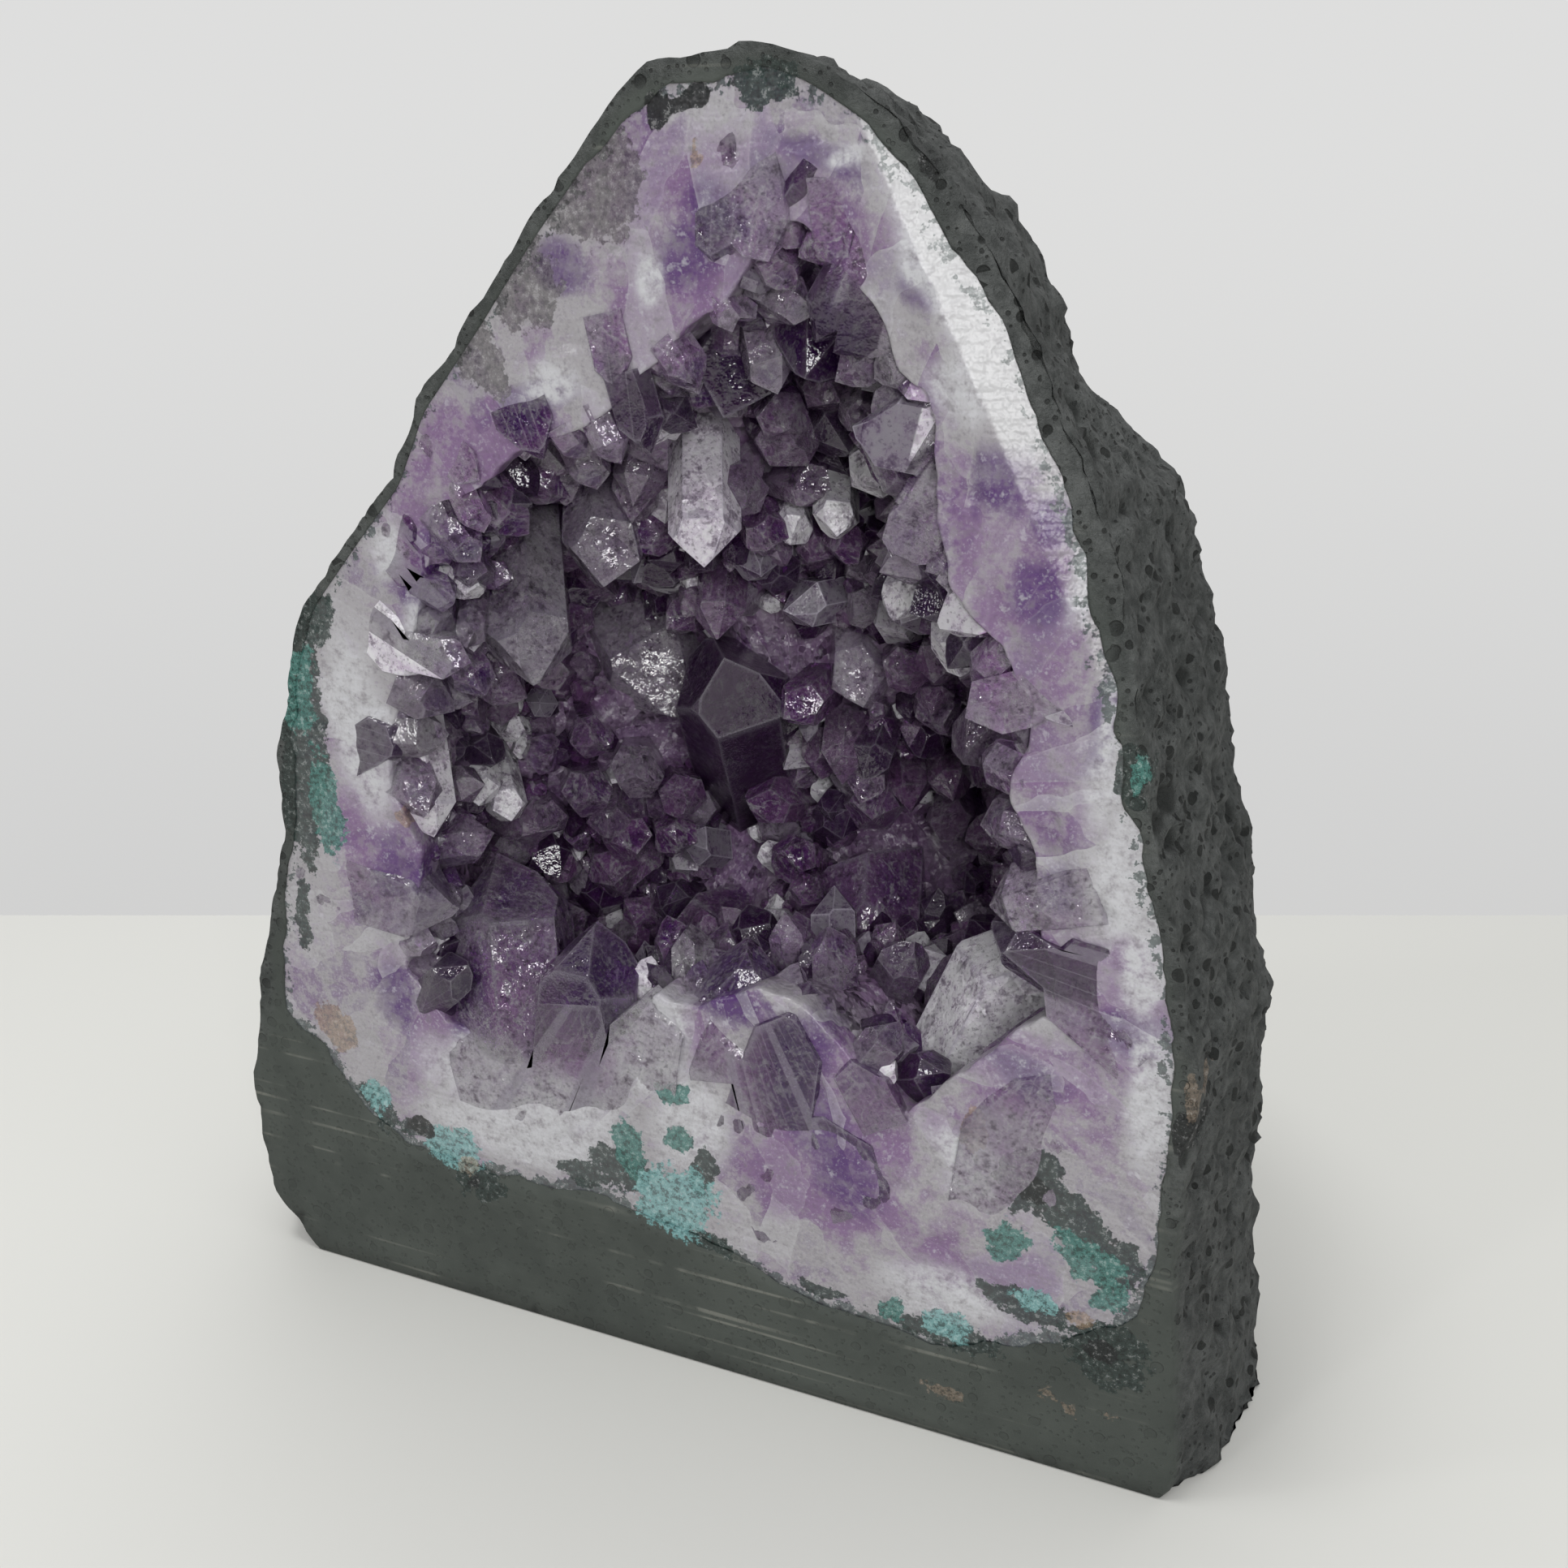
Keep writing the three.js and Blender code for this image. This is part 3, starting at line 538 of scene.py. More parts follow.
def hollow_wall(angle, share):
    wall = hollow_egg.points(angle, share)
    wall += swell_to_roots(wall)
    inward = unit(HOLLOW_MIDDLE - wall)
    lump = 1.6 * noise(wall, 14) + 0.8 * noise(wall, 6)
    return wall + inward * (lump * smoothstep(0, 10, wall[:, 1]))[:, None]


def lining_values(points):
    """The markings, how far each point is from the stone (0) to the hollow (1), and how deep in it."""
    values = face_markings(points, MARKINGS)
    across = points[:, [0, 2]] - CRUST_CENTRE
    angle = np.arctan2(across[:, 1], across[:, 0])
    outer = crust_egg.radius(angle, np.zeros(len(points)))
    from_stone = outer - np.hypot(*across.T)
    width = outer * (1 - 1 / np.maximum(1.001, hollow_fill_at_rim(angle, outer)))
    values["inward"] = np.clip(from_stone / np.maximum(width, 4), 0, 1)
    values["grown"] = grown_from_stone(points, angle, from_stone)
    # How deep behind the face, from 0 to 1; the rim's colour darkens with it as painted shade
    values["deep"] = smoothstep(1, 22, points[:, 1])
    seam = 1 - smoothstep(0.5, 4.0, from_stone + 1.2 * noise(points, 7))
    values["seam"] = seam * (0.45 + 0.4 * smoothstep(75, 50, points[:, 2]))
    # Where the shoulder's sawn cut lies, which carries a painted reflection
    sawn_shoulder = smoothstep(0.0, 1.0, past_shoulder(points)) * smoothstep(188, 193, points[:, 2])
    values["shoulder"] = sawn_shoulder * (1 - values["dark_green"])
    return values


def grown_from_stone(points, angle, distance):
    """Coordinates in which the crystals of the rim, long towards the hollow, are as long as they are wide."""
    bend = angle + 0.10 * noise(points, 26)
    return np.stack([95 * np.cos(bend), 95 * np.sin(bend), 0.42 * distance + 0.3 * points[:, 1]], axis=1)


def hollow_fill_at_rim(angle, outer):
    """How many times wider the crust's outline is than the hollow's, in each direction."""
    x, z = CRUST_CENTRE[0] + outer * np.cos(angle), CRUST_CENTRE[1] + outer * np.sin(angle)
    return hollow_egg.fill(np.stack([x, 0 * angle, z], axis=1))


def make_lining():
    angle = np.linspace(-math.pi, math.pi, LINING_AROUND, endpoint=False)
    back = [crust_egg.points(angle, share) for share in BACK_SHARES]
    edge, away = crust_edge(angle)
    rim_outer = edge + 0.8 * away
    rim_inner = hollow_egg.points(angle, 0.0)
    jag = 1.8 * rugged(rim_inner, 9, 3) - 2.2
    rim_inner += unit(rim_inner - at_depth(HOLLOW_CENTRE, 0)) * jag[:, None]
    rim = []
    for t in np.linspace(0, 1, RIM_RINGS):
        ring = rim_outer + (rim_inner - rim_outer) * t
        chips = np.maximum(0, rugged(ring + 20, 5, 3) - 0.55) * 1.2 * smoothstep(0.03, 0.2, t)
        recess = RIM_RECESS * smoothstep(0.5, 0.9, t + 0.12 * noise(ring, 11)) * (0.75 + 0.25 * noise(ring, 6))
        ring[:, 1] = 0.25 + chips + recess
        rim.append(ring)
    wall = []
    for n in range(1, WALL_RINGS):
        ring = hollow_wall(angle, math.sin(n / WALL_RINGS * math.pi / 2))
        if n < 8:
            start = rim_inner + (0, ring[0, 1], 0)
            ring = start + (ring - start) * smoothstep(0, 8, n)
        ring[:, 1] = np.maximum(ring[:, 1], rim[-1][:, 1])
        wall.append(ring)
    rings = [saw(ring.copy(), 0.25) for ring in back + rim + wall]
    first_pole, last_pole = at_depth(CRUST_CENTRE, RIND_DEPTH - 1), at_depth(HOLLOW_CENTRE, HOLLOW_DEPTH)
    return loft("quartz_lining", rings, first_pole, last_pole, lining_values)


# Crystals

END_SLOPE = math.radians(38)
HEAD_SPACING = 7.0
CRYSTAL_SIZES = {
    "Small spacing": 3.5, "Smallest": 1.7, "Small largest": 3.5,
    "Spacing": 7.5, "Middling smallest": 3.4, "Largest": 6.2,
}
TINTS = (0.2, 0.4, 0.5, 0.6, 0.8, 1.0)
GROWING_AROUND = 180  # points and rings of the plain wall that the crystals grow on
GROWING_RINGS = 44
SPACE_SHARES = (0.0, 0.1, 0.3, 0.5, 0.7, 0.9)  # depths of the rings of the space that the crystals are sawn to
SPACE_SHIFT = (0.016, 0, 0.47)  # keeps the crystals inside the stone all round
SAWN_BEHIND = 0.4  # the sawn ends of the crystals lie just behind the rim
FRONT_DEPTH = 16.0  # faces in front of this depth carry the rim's markings and are divided for them
FRONT_EDGE = 3.2
FRONT_FACE = 9.0


def crystal_mesh(name, radius, length, rng, violet, milky, centred=True):
    """A quartz point along +Z: an uneven six-sided prism under three large and three small end faces."""
    planes = [((0, 0, -1), 0.0)]
    for n in range(6):
        turn = n * math.pi / 3
        side = (math.cos(turn), math.sin(turn), 0)
        planes.append((side, radius * 0.866 * rng.uniform(0.82, 1.08)))
        level, rise = math.cos(END_SLOPE), math.sin(END_SLOPE)
        slope = (math.cos(turn) * level, math.sin(turn) * level, rise)
        uneven = rng.uniform(0.0, 0.12) if n % 2 else rng.uniform(0.05, 0.4)
        planes.append((slope, length * rise + radius * uneven))
    normals = np.array([p[0] for p in planes])
    limits = np.array([p[1] for p in planes])
    corners = []
    count = len(planes)
    for a in range(count):
        for b in range(a + 1, count):
            for c in range(b + 1, count):
                system = normals[[a, b, c]]
                if abs(np.linalg.det(system)) < 1e-6:
                    continue
                corner = np.linalg.solve(system, limits[[a, b, c]])
                if np.all(normals @ corner <= limits + 1e-6):
                    corners.append(corner)
    work = bmesh.new()
    for corner in corners:
        work.verts.new(corner)
    bmesh.ops.remove_doubles(work, verts=work.verts, dist=1e-4)
    hull = bmesh.ops.convex_hull(work, input=work.verts)
    bmesh.ops.delete(work, geom=[g for g in hull["geom_interior"] if isinstance(g, bmesh.types.BMVert)])
    bmesh.ops.dissolve_limit(work, angle_limit=0.02, verts=work.verts, edges=work.edges)
    corner_count = len(work.verts)
    if centred:
        bmesh.ops.poke(work, faces=work.faces)
    mesh = bpy.data.meshes.new(name)
    work.to_mesh(mesh)
    work.free()
    heights = np.array([v.co.z for v in mesh.vertices])
    middle = np.where(np.arange(len(heights)) < corner_count, 0.0, 1.0) if centred else 0.35
    values = {"along": heights / length, "tint": violet, "milky": milky, "middle": middle}
    add_values(mesh, {key: np.broadcast_to(value, len(heights)) for key, value in values.items()})
    return mesh


def placed_crystals(rng):
    group = bpy.data.collections.new("large crystals")
    for name, (root, point, radius, violet, milky) in CRYSTALS.items():
        start, end = np.array(root, float), np.array(point, float)
        axis = (end - start) / np.linalg.norm(end - start)
        for _step in range(40):
            if hollow_egg.fill(start[None])[0] >= 1 or start[1] <= 0:
                break
            start = start - axis
        start = start - 4 * axis
        length = float(np.linalg.norm(end - start))
        mesh = crystal_mesh(name, radius, length, rng, violet, milky)
        place(mesh, start, end, rng)
        group.objects.link(bpy.data.objects.new(name, mesh))
    rim_heads(rng, group)
    return group


def gap_to_large(points):
    """How far each point is from the nearest large crystal, below 0 inside one."""
    gap = np.full(len(points), 1e3)
    for root, point, radius, *_look in CRYSTALS.values():
        start, along = np.array(root, float), np.array(point, float) - root
        t = np.clip((points - start) @ along / (along @ along), 0, 1)
        gap = np.minimum(gap, np.linalg.norm(points - start - t[:, None] * along, axis=1) - 0.9 * radius)
    return gap


def rim_heads(rng, group):
    """Crystals rooted in the rim that point into the hollow all round it, between the large ones."""
    corners = np.array(HOLLOW_OUTLINE + HOLLOW_OUTLINE[:1], float)
    count = 0
    for start, end in zip(corners, corners[1:]):
        gap = np.linalg.norm(end - start)
        for step in np.arange(rng.uniform(0, HEAD_SPACING), gap, HEAD_SPACING):
            edge = start + (end - start) * step / gap
            inward = (HOLLOW_CENTRE - edge) / np.linalg.norm(HOLLOW_CENTRE - edge)
            turn = rng.uniform(-0.55, 0.55)
            inward = np.array([inward[0] * math.cos(turn) - inward[1] * math.sin(turn),
                               inward[0] * math.sin(turn) + inward[1] * math.cos(turn)])
            tip, root = edge + inward * rng.uniform(0, 6), edge - inward * rng.uniform(9, 16)
            depth = rng.uniform(-1.5, 9)
            root = np.array([root[0], depth, root[1]])
            tip = np.array([tip[0], depth + rng.uniform(0, 6), tip[1]])
            radius = rng.uniform(4.2, 7.2)
            if gap_to_large(np.array([tip, (tip + root) / 2])).min() < 1.5:
                continue
            length = float(np.linalg.norm(tip - root))
            tint, milky = rng.uniform(0.35, 1.0), rng.choice((0, 0, 0.1, 0.3, 0.7))
            mesh = crystal_mesh(f"head_{count:02d}", radius, length, rng, tint, milky)
            place(mesh, root, tip, rng)
            group.objects.link(bpy.data.objects.new(mesh.name, mesh))
            count += 1


def place(mesh, root, point, rng):
    turn = Matrix.Rotation(rng.uniform(0, math.pi), 4, "Z")
    aim = Vector(point - root).to_track_quat("Z", "Y").to_matrix().to_4x4()
    mesh.transform(Matrix.Translation(Vector(root)) @ aim @ turn)


def crystal_kinds(name, count, rng, centred):
    """A set of different crystals of radius 1 for scattering."""
    group = bpy.data.collections.new(name)
    for n in range(count):
        tint = rng.choice(TINTS)
        milky = rng.choice((0.0, 0.0, 0.1, 0.2, 0.4, 0.9))
        mesh = crystal_mesh(f"{name}_{n:02d}", 1.0, rng.uniform(1.9, 3.0), rng, tint, milky, centred)
        group.objects.link(bpy.data.objects.new(mesh.name, mesh))
    return group


def enabled(sockets, key):
    """The socket with this number, or the one in use with this name."""
    return sockets[key] if isinstance(key, int) else next(s for s in sockets if s.name == key and s.enabled)


def node(tree, kind, inputs=None, **settings):
    made = tree.nodes.new(kind)
    for key, value in settings.items():
        setattr(made, key, value)
    for key, value in (inputs or {}).items():
        if hasattr(value, "is_output"):
            tree.links.new(value, enabled(made.inputs, key))
        else:
            enabled(made.inputs, key).default_value = value
    return made


def store(tree, geometry, name, value, domain):
    return node(tree, "GeometryNodeStoreNamedAttribute", {"Geometry": geometry, "Name": name, "Value": value},
                data_type="FLOAT", domain=domain).outputs[0]


def named(tree, name):
    return node(tree, "GeometryNodeInputNamedAttribute", {"Name": name}, data_type="FLOAT").outputs[0]


def random_number(tree, low, high, seed):
    return node(tree, "FunctionNodeRandomValue", {2: low, 3: high, "Seed": seed}).outputs[1]


def scattered(tree, wall, kinds, spacing, smallest, largest, seed, lean):
    """Crystals of the given kinds on the wall, at least spacing apart, each turned and leaning at random."""
    room = named(tree, "room")
    points = node(tree, "GeometryNodeDistributePointsOnFaces", {
        "Mesh": wall, "Distance Min": spacing, "Density Max": 1.0, "Density Factor": room, "Seed": seed,
    }, distribute_method="POISSON")
    place = tree.nodes.new("GeometryNodeInputPosition").outputs[0]
    patches = node(tree, "ShaderNodeTexNoise", {"Vector": place, "Scale": 0.055, "Detail": 2.0}).outputs[0]
    chance = random_number(tree, -0.25, 0.25, seed)
    tint = spread(tree, plus(tree, patches, chance), 0.3, 0.7, 0.25, 1.0)
    frost = node(tree, "ShaderNodeTexNoise", {"Vector": place, "Scale": 0.045, "Detail": 3.0, "W": 4.0},
                 noise_dimensions="4D").outputs[0]
    milky = spread(tree, plus(tree, frost, times(tree, chance, 0.7)), 0.54, 0.78)
    stored = store(tree, points.outputs["Points"], "tint", tint, "POINT")
    stored = store(tree, stored, "milky", milky, "POINT")
    size = random_number(tree, smallest, largest, seed)
    tip = node(tree, "FunctionNodeRandomValue", {0: (-lean, -lean, -3.1), 1: (lean, lean, 3.1), "Seed": seed},
               data_type="FLOAT_VECTOR")
    tip = node(tree, "FunctionNodeEulerToRotation", {0: tip.outputs[0]})
    turned = node(tree, "FunctionNodeRotateRotation",
                  {0: points.outputs["Rotation"], 1: tip.outputs[0]}, rotation_space="LOCAL")
    kinds = node(tree, "GeometryNodeCollectionInfo",
                 {"Collection": kinds, "Separate Children": True, "Reset Children": True})
    return node(tree, "GeometryNodeInstanceOnPoints", {
        "Points": stored, "Instance": kinds.outputs[0], "Pick Instance": True,
        "Rotation": turned.outputs[0], "Scale": size,
    }).outputs[0]


def growing_tree(large, middling, small, clear, frosted):
    """Scatters crystals on the hollow's wall, joins them with the large ones and saws the whole flush."""
    tree = bpy.data.node_groups.new("Grow crystals", "GeometryNodeTree")
    face = tree.interface
    face.new_socket("Geometry", in_out="OUTPUT", socket_type="NodeSocketGeometry")
    face.new_socket("Wall", in_out="INPUT", socket_type="NodeSocketGeometry")
    for name, value in CRYSTAL_SIZES.items():
        face.new_socket(name, in_out="INPUT", socket_type="NodeSocketFloat").default_value = value
    face.new_socket("Seed", in_out="INPUT", socket_type="NodeSocketInt").default_value = 7
    face.new_socket("Sawn space", in_out="INPUT", socket_type="NodeSocketObject")
    given = tree.nodes.new("NodeGroupInput").outputs
    wall, seed = given["Wall"], given["Seed"]
    small_sizes = given["Small spacing"], given["Smallest"], given["Small largest"]
    middling_sizes = given["Spacing"], given["Middling smallest"], given["Largest"]
    parts = [
        scattered(tree, wall, small, *small_sizes, seed, 0.5),
        scattered(tree, wall, middling, *middling_sizes, seed, 0.45),
        node(tree, "GeometryNodeCollectionInfo", {"Collection": large, "Separate Children": True}).outputs[0],
    ]
    joined = node(tree, "GeometryNodeMeshBoolean", operation="UNION", solver="MANIFOLD")
    apart = tree.nodes.new("GeometryNodeJoinGeometry")
    for part in parts:
        tree.links.new(part, joined.inputs["Mesh 2"])
        tree.links.new(part, apart.inputs[0])
    apart = node(tree, "GeometryNodeRealizeInstances", {0: apart.outputs[0]}).outputs[0]
    space = node(tree, "GeometryNodeObjectInfo", {"Object": given["Sawn space"]})
    sawn = node(tree, "GeometryNodeMeshBoolean", operation="INTERSECT", solver="MANIFOLD")
    for part in (joined.outputs["Mesh"], space.outputs["Geometry"]):
        tree.links.new(part, sawn.inputs["Mesh 2"])
    grown = node(tree, "GeometryNodeRealizeInstances", {0: sawn.outputs["Mesh"]}).outputs[0]
    place = tree.nodes.new("GeometryNodeInputPosition").outputs[0]
    centre = node(tree, "GeometryNodeFieldOnDomain", {0: place}, data_type="FLOAT_VECTOR",
                  domain="FACE").outputs[0]
    for name in ("along", "middle", "tint", "milky"):
        source = named(tree, name)
        beside = node(tree, "ShaderNodeMix", {0: 0.03, "A": place, "B": centre}, data_type="VECTOR").outputs[1]
        found = node(tree, "GeometryNodeSampleNearestSurface",
                     {"Mesh": apart, "Value": source, "Sample Position": beside}, data_type="FLOAT")
        grown = store(tree, grown, name, found.outputs[0], "CORNER")
    finish = node(tree, "GeometryNodeSetMaterial", {"Geometry": grown, "Material": clear})
    chosen = node(tree, "FunctionNodeCompare", {0: named(tree, "milky"), 1: 0.45}, data_type="FLOAT",
                  operation="GREATER_THAN")
    finish = node(tree, "GeometryNodeSetMaterial",
                  {"Geometry": finish.outputs[0], "Selection": chosen.outputs[0], "Material": frosted})
    tree.links.new(finish.outputs[0], tree.nodes.new("NodeGroupOutput").inputs[0])
    return tree


def long_edges(work):
    """The longer edges near the saw cut."""
    return [e for e in work.edges
            if e.calc_length() > FRONT_EDGE and all(v.co.y < FRONT_DEPTH for v in e.verts)]


def divide_front(mesh):
    """Divides the larger faces near the saw cut, so that the markings can run across them."""
    work = bmesh.new()
    work.from_mesh(mesh)
    middle = work.loops.layers.float["middle"]
    sawn = [f for f in work.faces if f.calc_area() > FRONT_FACE and f.normal.y < -0.99
            and f.calc_center_median().y < SAWN_BEHIND + 0.01]
    for face in sawn:
        for loop in face.loops:
            loop[middle] = 0.0
    made = bmesh.ops.poke(work, faces=sawn)
    for vert in {v for f in made["faces"] for v in f.verts}:
        if all(f.normal.y < -0.99 for f in vert.link_faces):
            for loop in vert.link_loops:
                loop[middle] = 1.0
    for _round in range(3):
        faces = list({f for e in long_edges(work) for f in e.link_faces})
        bmesh.ops.triangulate(work, faces=faces)
        bmesh.ops.subdivide_edges(work, edges=long_edges(work), cuts=1)
    work.to_mesh(mesh)
    work.free()


def crystal_values(points):
    """The markings that carry on from the sawn face into the crystals, and how deep in the hollow they are."""
    near = 1 - smoothstep(6, 26, points[:, 1])
    values = {name: marked(points, MARKINGS[name]) * near for name in ("violet", "lilac", "white")}
    # How deep in the hollow, from 0 to 1; the crystals' colour darkens with it as painted shade
    values["deep"] = smoothstep(4, 45, points[:, 1])
    return values


def growing_wall():
    """The hollow's plain wall, which the crystals grow on, facing into the hollow."""
    angle = np.linspace(-math.pi, math.pi, GROWING_AROUND, endpoint=False)
    shares = [math.sin(n / GROWING_RINGS * math.pi / 2) for n in range(1, GROWING_RINGS)]
    rings = [hollow_wall(angle, share) for share in shares]
    points = np.concatenate(rings + [[at_depth(HOLLOW_CENTRE, 0)], [at_depth(HOLLOW_CENTRE, HOLLOW_DEPTH)]])
    first_pole = len(rings) * GROWING_AROUND
    faces = [face for face in loft_faces(len(rings), GROWING_AROUND) if face[0] != first_pole]
    wall = raw_object("wall", points, faces)
    inward = Vector((HOLLOW_CENTRE[0], 35, HOLLOW_CENTRE[1]))
    if sum(face.normal.dot(inward - face.center) for face in wall.data.polygons) < 0:
        wall.data.flip_normals()
    add_values(wall.data, {"room": smoothstep(-0.5, 1.0, gap_to_large(points))})
    return wall


def sawn_space():
    """The space behind the saw cut and inside the stone, which the crystals are sawn to."""
    angle = np.linspace(-math.pi, math.pi, GROWING_AROUND, endpoint=False)
    rings = [saw(crust_egg.points(angle, share) * 0.996 + np.array(SPACE_SHIFT), SAWN_BEHIND)
             for share in SPACE_SHARES]
    ends = [[at_depth(CRUST_CENTRE, SAWN_BEHIND)], [at_depth(CRUST_CENTRE, RIND_DEPTH)]]
    space = raw_object("sawn space", np.concatenate(rings + ends), loft_faces(len(rings), GROWING_AROUND))
    turn_outwards(space.data)
    return space


def make_crystals(clear, frosted):
    rng = random.Random(17)
    wall, space = growing_wall(), sawn_space()
    large = placed_crystals(rng)
    small, middling = crystal_kinds("small", 16, rng, False), crystal_kinds("middling", 12, rng, True)
    tree = growing_tree(large, middling, small, clear, frosted)
    grow = wall.modifiers.new("Grow crystals", "NODES")
    grow.node_group = tree
    sockets = {item.name: item.identifier for item in tree.interface.items_tree if item.in_out == "INPUT"}
    grow[sockets["Sawn space"]] = space
    mesh = bpy.data.meshes.new_from_object(wall.evaluated_get(bpy.context.evaluated_depsgraph_get()))
    mesh.name = "amethyst_crystals"
    divide_front(mesh)
    corners = np.empty(len(mesh.vertices) * 3, np.float32)
    mesh.vertices.foreach_get("co", corners)
    add_values(mesh, crystal_values(corners.reshape(-1, 3).astype(float)))
    mesh.transform(Matrix.Scale(MM, 4) @ Matrix.Translation((0, -FACE_OFFSET, 0)))
    wall.modifiers.remove(grow)
    for helper in (wall, space):
        bpy.data.objects.remove(helper)
    mesh.shade_flat()
    return linked("amethyst_crystals", mesh)


# Materials

# Stone: the sawn face, the rough side, painted shade in the pores and pits, and the saw's scratches
SAWN_DARK = (0.043, 0.051, 0.045, 1)
SAWN_PALE = (0.066, 0.076, 0.067, 1)
ROUGH_DARK = (0.036, 0.040, 0.039, 1)
ROUGH_PALE = (0.098, 0.104, 0.102, 1)
# Painted shade in the pores and pits
PORE_SHADE = (0.006, 0.008, 0.007, 1)
SCRATCH = (0.30, 0.30, 0.26, 1)
# Quartz of the rim
# Painted reflection: the whitened sawn cut of the shoulder, where it mirrors the window
SHOULDER_REFLECTION_WHITE = (0.42, 0.42, 0.43, 1)
DARK_VEIL = (0.07, 0.05, 0.08, 1)
MILK = (0.34, 0.325, 0.345, 1)
WHITE_QUARTZ = (0.52, 0.52, 0.545, 1)
LILAC_QUARTZ = (0.20, 0.12, 0.235, 1)
VIOLET_QUARTZ = (0.075, 0.024, 0.135, 1)
# Painted shade: darker purple for quartz deep in the hollow
DEEP_SHADE_QUARTZ = (0.15, 0.075, 0.175, 1)
SMOKY_QUARTZ = (0.115, 0.105, 0.11, 1)
# Quartz of the crystals
CRYSTAL_MILK = (0.62, 0.52, 0.67, 1)
CRYSTAL_WHITE = (0.93, 0.92, 0.95, 1)
CRYSTAL_LILAC = (0.48, 0.20, 0.55, 1)
CRYSTAL_VIOLET = (0.12, 0.018, 0.26, 1)
# Painted shade: darker purple for crystals deep in the hollow
CRYSTAL_DEEP_SHADE = (0.36, 0.12, 0.40, 1)
CRYSTAL_DARK = (0.035, 0.006, 0.06, 1)
# Pale edges of the crystals' faces: partly their pale outer layer, partly a painted highlight where edges catch
# the light
PALE_EDGE_AND_HIGHLIGHT = (0.62, 0.57, 0.68, 1)
# Painted shade at the roots of the crystals deep in the hollow
ROOT_SHADE = (0.04, 0.018, 0.05, 1)
ABSORBED = (0.70, 0.40, 0.80, 1)
ABSORPTION = 120.0
QUARTZ_IOR = 1.544
CELLS = 0.11  # sawn crystals per millimetre along the rim
# Minerals on the stone and on the rim: marking, tone, how broken its edge is, strength
STONE_TONES = (
    ("dark_green", (0.022, 0.036, 0.032, 1), 2.4, 0.8),
    ("teal", (0.07, 0.22, 0.19, 1), 2.2, 0.8),
    ("turquoise", (0.16, 0.34, 0.34, 1), 2.6, 0.8),
    ("black", (0.014, 0.016, 0.016, 1), 1.2, 0.9),
    ("rust", (0.22, 0.17, 0.125, 1), 2.4, 0.6),
)
RIM_TONES = (
    ("seam", (0.035, 0.060, 0.055, 1), 3.2, 0.8),
    ("smoky", SMOKY_QUARTZ, 2.6, 0.7),
    ("dark_green", (0.016, 0.034, 0.030, 1), 2.6, 0.9),
    ("teal", (0.05, 0.17, 0.15, 1), 2.6, 0.9),
    ("turquoise", (0.17, 0.36, 0.36, 1), 3.2, 0.85),
    ("black", (0.010, 0.012, 0.013, 1), 1.0, 0.95),
    ("rust", (0.26, 0.17, 0.10, 1), 2.2, 0.6),
)


def material(name):
    made = bpy.data.materials.new(name)
    made.use_nodes = True
    tree = made.node_tree
    return made, tree, tree.nodes["Principled BSDF"], tree.nodes["Material Output"]


def value_of(tree, name):
    return node(tree, "ShaderNodeAttribute", attribute_name=name).outputs["Fac"]


def blend(tree, amount, first, second, kind="MIX"):
    """A colour between first and second; each is a colour or a socket."""
    return node(tree, "ShaderNodeMix", {0: amount, "A": first, "B": second}, data_type="RGBA",
                blend_type=kind).outputs[2]


def math_node(tree, kind, a, b=0.0, clamp=False):
    return node(tree, "ShaderNodeMath", {0: a, 1: b}, operation=kind, use_clamp=clamp).outputs[0]


def times(tree, a, b, clamp=False):
    return math_node(tree, "MULTIPLY", a, b, clamp)


def plus(tree, a, b, clamp=False):
    return math_node(tree, "ADD", a, b, clamp)


def minus(tree, a, b, clamp=False):
    return math_node(tree, "SUBTRACT", a, b, clamp)


def vector_node(tree, kind, inputs):
    return node(tree, "ShaderNodeVectorMath", inputs, operation=kind).outputs[0]


def object_place(tree):
    return node(tree, "ShaderNodeTexCoord").outputs["Object"]


def spread(tree, value, low, high, to_low=0.0, to_high=1.0):
    return node(tree, "ShaderNodeMapRange", {
        "Value": value, "From Min": low, "From Max": high, "To Min": to_low, "To Max": to_high,
    }, interpolation_type="SMOOTHSTEP").outputs[0]


def cloud(tree, where, scale, detail=6.0, rough=0.6, warp=0.0):
    return node(tree, "ShaderNodeTexNoise", {
        "Vector": where, "Scale": scale, "Detail": detail, "Roughness": rough, "Distortion": warp,
    }).outputs[0]


def cells(tree, where, scale, feature="F1", kind="Distance"):
    return node(tree, "ShaderNodeTexVoronoi", {"Vector": where, "Scale": scale}, feature=feature).outputs[kind]


def cell_numbers(tree, where, scale):
    """Three random numbers, each the same all over a cell."""
    return node(tree, "ShaderNodeSeparateColor", {0: cells(tree, where, scale, kind="Color")}).outputs


def new_group(name, inputs, outputs):
    """A shader group with the given sockets; inputs map names to (type, value)."""
    tree = bpy.data.node_groups.new(name, "ShaderNodeTree")
    for key, (kind, value) in inputs.items():
        socket = tree.interface.new_socket(key, in_out="INPUT", socket_type="NodeSocket" + kind)
        if value is not None:
            socket.default_value = value
    for key, kind in outputs.items():
        tree.interface.new_socket(key, in_out="OUTPUT", socket_type="NodeSocket" + kind)
    return tree, tree.nodes.new("NodeGroupInput").outputs, tree.nodes.new("NodeGroupOutput").inputs


def ragged_group():
    """Turns a soft marking into one with a broken, grainy edge; Grain is a fine noise."""
    tree, given, out = new_group(
        "Ragged edge", {"Value": ("Float", 0.0), "Grain": ("Float", 0.5), "Break": ("Float", 1.8)},
        {"Mask": "Float"})
    shift = times(tree, minus(tree, given["Grain"], 0.5), given["Break"])
    mask = spread(tree, plus(tree, given["Value"], shift), 0.42, 0.6)
    present = spread(tree, given["Value"], 0.02, 0.25)
    tree.links.new(times(tree, mask, present), out["Mask"])
    return tree


